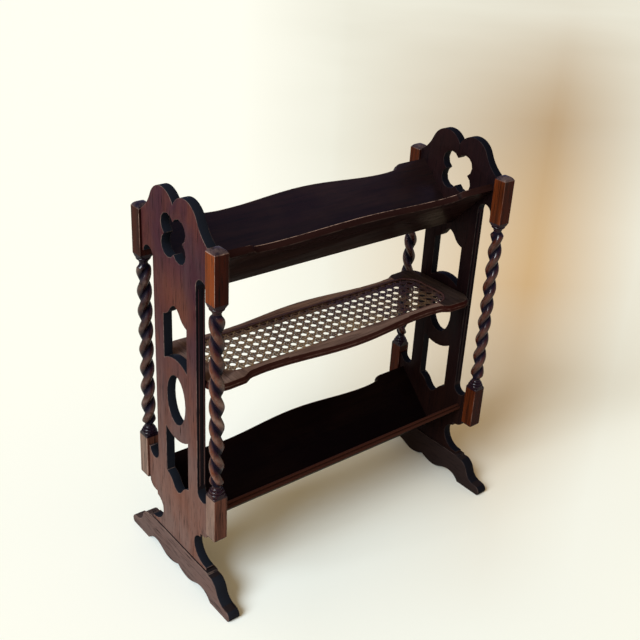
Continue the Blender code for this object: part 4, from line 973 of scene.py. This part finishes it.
def floor_material():
    """Pale floor with painted shade: it turns dull far behind, and tan on the right where shadow falls."""
    tint = finish()
    made, tree = new_material("pale floor")
    place = add(tree, 'ShaderNodeTexCoord').outputs['Object']
    # X to the right and Y away from the viewer, from the point of the floor under the camera
    seen = add(tree, 'ShaderNodeMapping',
               {'Vector': place, 'Location': (-CAMERA_PLACE[0], -CAMERA_PLACE[1], 0)}).outputs[0]
    seen = add(tree, 'ShaderNodeMapping',
               {'Vector': seen, 'Rotation': (0, 0, math.radians(FLOOR_TURN))}).outputs[0]
    right, away, _ = split(tree, seen)
    sideways = maths(tree, 'DIVIDE', right, maths(tree, 'MAXIMUM', away, 0.1))
    # Painted shadow: tan on the right, where the shade of the bookcase falls
    warm = times(tree, spread(tree, sideways, 0.02, 0.26), spread(tree, away, 1.2, 2.6),
                 spread(tree, away, 7.5, 4.4, 0.2, 1.0), spread(tree, sideways, 0.37, 0.25, 0.1, 1.0))
    cloud = noise(tree, place, 2, 0.5, scale=1.1)
    # Painted shade: duller far behind
    dull = times(tree, spread(tree, sideways, -0.08, 0.03), spread(tree, away, 0.4, 3.8),
                 spread(tree, cloud, 0.3, 0.7, 0.8, 1.0))
    tan = mix(tree, spread(tree, away, 2.7, 4.2), (*tint.floor_tan_shade, 1), (*tint.floor_tan_shade_far, 1))
    shade = mix(tree, dull, (*tint.floor, 1), (*tint.floor_far_shade, 1))
    shade = mix(tree, warm, shade, tan)
    # Painted reflection: glossy rays see the floor darker, which dims its reflection in the wood
    mirrored = add(tree, 'ShaderNodeLightPath').outputs['Is Glossy Ray']
    shade = mix(tree, times(tree, mirrored, 0.62), shade, (0, 0, 0, 1))
    surface(tree, {'Base Color': shade, 'Roughness': 0.8, 'Specular IOR Level': 0.0})
    return made


def pale_world():
    """World that the camera sees as pale, that fills the shadows warmly and is mirrored cool and dim."""
    world = bpy.data.worlds.new("pale world")
    world.use_nodes = True
    tree = world.node_tree
    tree.nodes.clear()
    leftward = times(tree, split(tree, add(tree, 'ShaderNodeTexCoord').outputs['Generated'])[0], -1.0)
    mirrored = mix(tree, spread(tree, leftward, 0.35, 0.95), WORLD_MIRRORED, LIGHT_MIRRORED)
    path = add(tree, 'ShaderNodeLightPath').outputs
    glow = mix(tree, path['Is Glossy Ray'], WORLD_FILL, mirrored)
    glow = mix(tree, path['Is Camera Ray'], glow, WORLD_SEEN)
    air = add(tree, 'ShaderNodeBackground', {'Color': glow, 'Strength': 1.0})
    add(tree, 'ShaderNodeOutputWorld', {'Surface': air.outputs[0]})
    return world


def photo_camera():
    """Camera at the place, the angle and the crop of the photograph."""
    azimuth, elevation, roll = (math.radians(a) for a in (AZIMUTH, ELEVATION, ROLL))
    back = Vector((math.sin(azimuth) * math.cos(elevation), -math.cos(azimuth) * math.cos(elevation),
                   math.sin(elevation)))
    level = (-back).cross(Vector((0, 0, 1))).normalized()
    rise = level.cross(-back)
    right = math.cos(roll) * level + math.sin(roll) * rise
    up = math.cos(roll) * rise - math.sin(roll) * level
    lens = bpy.data.cameras.new("camera")
    lens.sensor_width = SENSOR
    lens.lens = FOCAL_LENGTH / PHOTO_SIDE * lens.sensor_width
    lens.shift_x = (PHOTO_SIDE / 2 - CENTRE_X) / PHOTO_SIDE
    lens.shift_y = (CENTRE_Y - PHOTO_SIDE / 2) / PHOTO_SIDE
    camera = bpy.data.objects.new("camera", lens)
    camera.matrix_world = (Matrix.Translation(CAMERA_PLACE)
                           @ Matrix((right, up, back)).transposed().to_4x4())
    return camera


class BOOKCASE_OT_stage(bpy.types.Operator):
    """Floor, lights and the camera at the photograph's angle"""
    bl_idname = "bookcase.stage"
    bl_label = "Stage"

    def execute(self, context):
        scene = context.scene
        bm = bmesh.new()
        bmesh.ops.create_grid(bm, x_segments=1, y_segments=1, size=FLOOR_HALF)
        mesh = bpy.data.meshes.new("floor")
        bm.to_mesh(mesh)
        bm.free()
        mesh.materials.append(floor_material())
        floor = bpy.data.objects.new("floor", mesh)
        floor.location = (0, 0, -FLOOR_DROP)
        scene.collection.objects.link(floor)

        sun = bpy.data.lights.new("sun", 'SUN')
        sun.energy = SUN_STRENGTH
        sun.angle = math.radians(SUN_SPREAD)
        sun.color = SUN_COLOUR
        lamp = bpy.data.objects.new("sun", sun)
        lamp.rotation_euler = Vector(TOWARDS_SUN).to_track_quat('Z', 'Y').to_euler()
        scene.collection.objects.link(lamp)

        scene.world = pale_world()
        scene.view_settings.view_transform = 'Standard'
        camera = photo_camera()
        scene.collection.objects.link(camera)
        scene.camera = camera
        return {'FINISHED'}


OPERATORS = (BOOKCASE_OT_end_panels, BOOKCASE_OT_feet, BOOKCASE_OT_posts, BOOKCASE_OT_troughs,
             BOOKCASE_OT_shelf, BOOKCASE_OT_cane, BOOKCASE_OT_dowels, BOOKCASE_OT_stage)


class VIEW3D_PT_bookcase(bpy.types.Panel):
    """Pieces, sizes and finishes of the bookcase"""
    bl_idname = "VIEW3D_PT_bookcase"
    bl_label = "Canterbury bookcase"
    bl_space_type = 'VIEW_3D'
    bl_region_type = 'UI'
    bl_category = "Bookcase"

    def draw(self, context):
        for made in OPERATORS:
            self.layout.operator(made.bl_idname)
        for group in (context.scene.bookcase_sizes, context.scene.bookcase_finish):
            column = self.layout.column()
            for key in group.bl_rna.properties.keys():
                if key not in {'rna_type', 'name'}:
                    column.prop(group, key)


CLASSES = (BookcaseSizes, BookcaseFinish) + OPERATORS + (VIEW3D_PT_bookcase,)


def register():
    for made in CLASSES:
        bpy.utils.register_class(made)
    bpy.types.Scene.bookcase_sizes = PointerProperty(type=BookcaseSizes)
    bpy.types.Scene.bookcase_finish = PointerProperty(type=BookcaseFinish)


def unregister():
    del bpy.types.Scene.bookcase_finish
    del bpy.types.Scene.bookcase_sizes
    for made in reversed(CLASSES):
        bpy.utils.unregister_class(made)


def main():
    register()
    for made in OPERATORS:
        group, name = made.bl_idname.split(".")
        getattr(getattr(bpy.ops, group), name)()


if __name__ == "__main__":
    main()
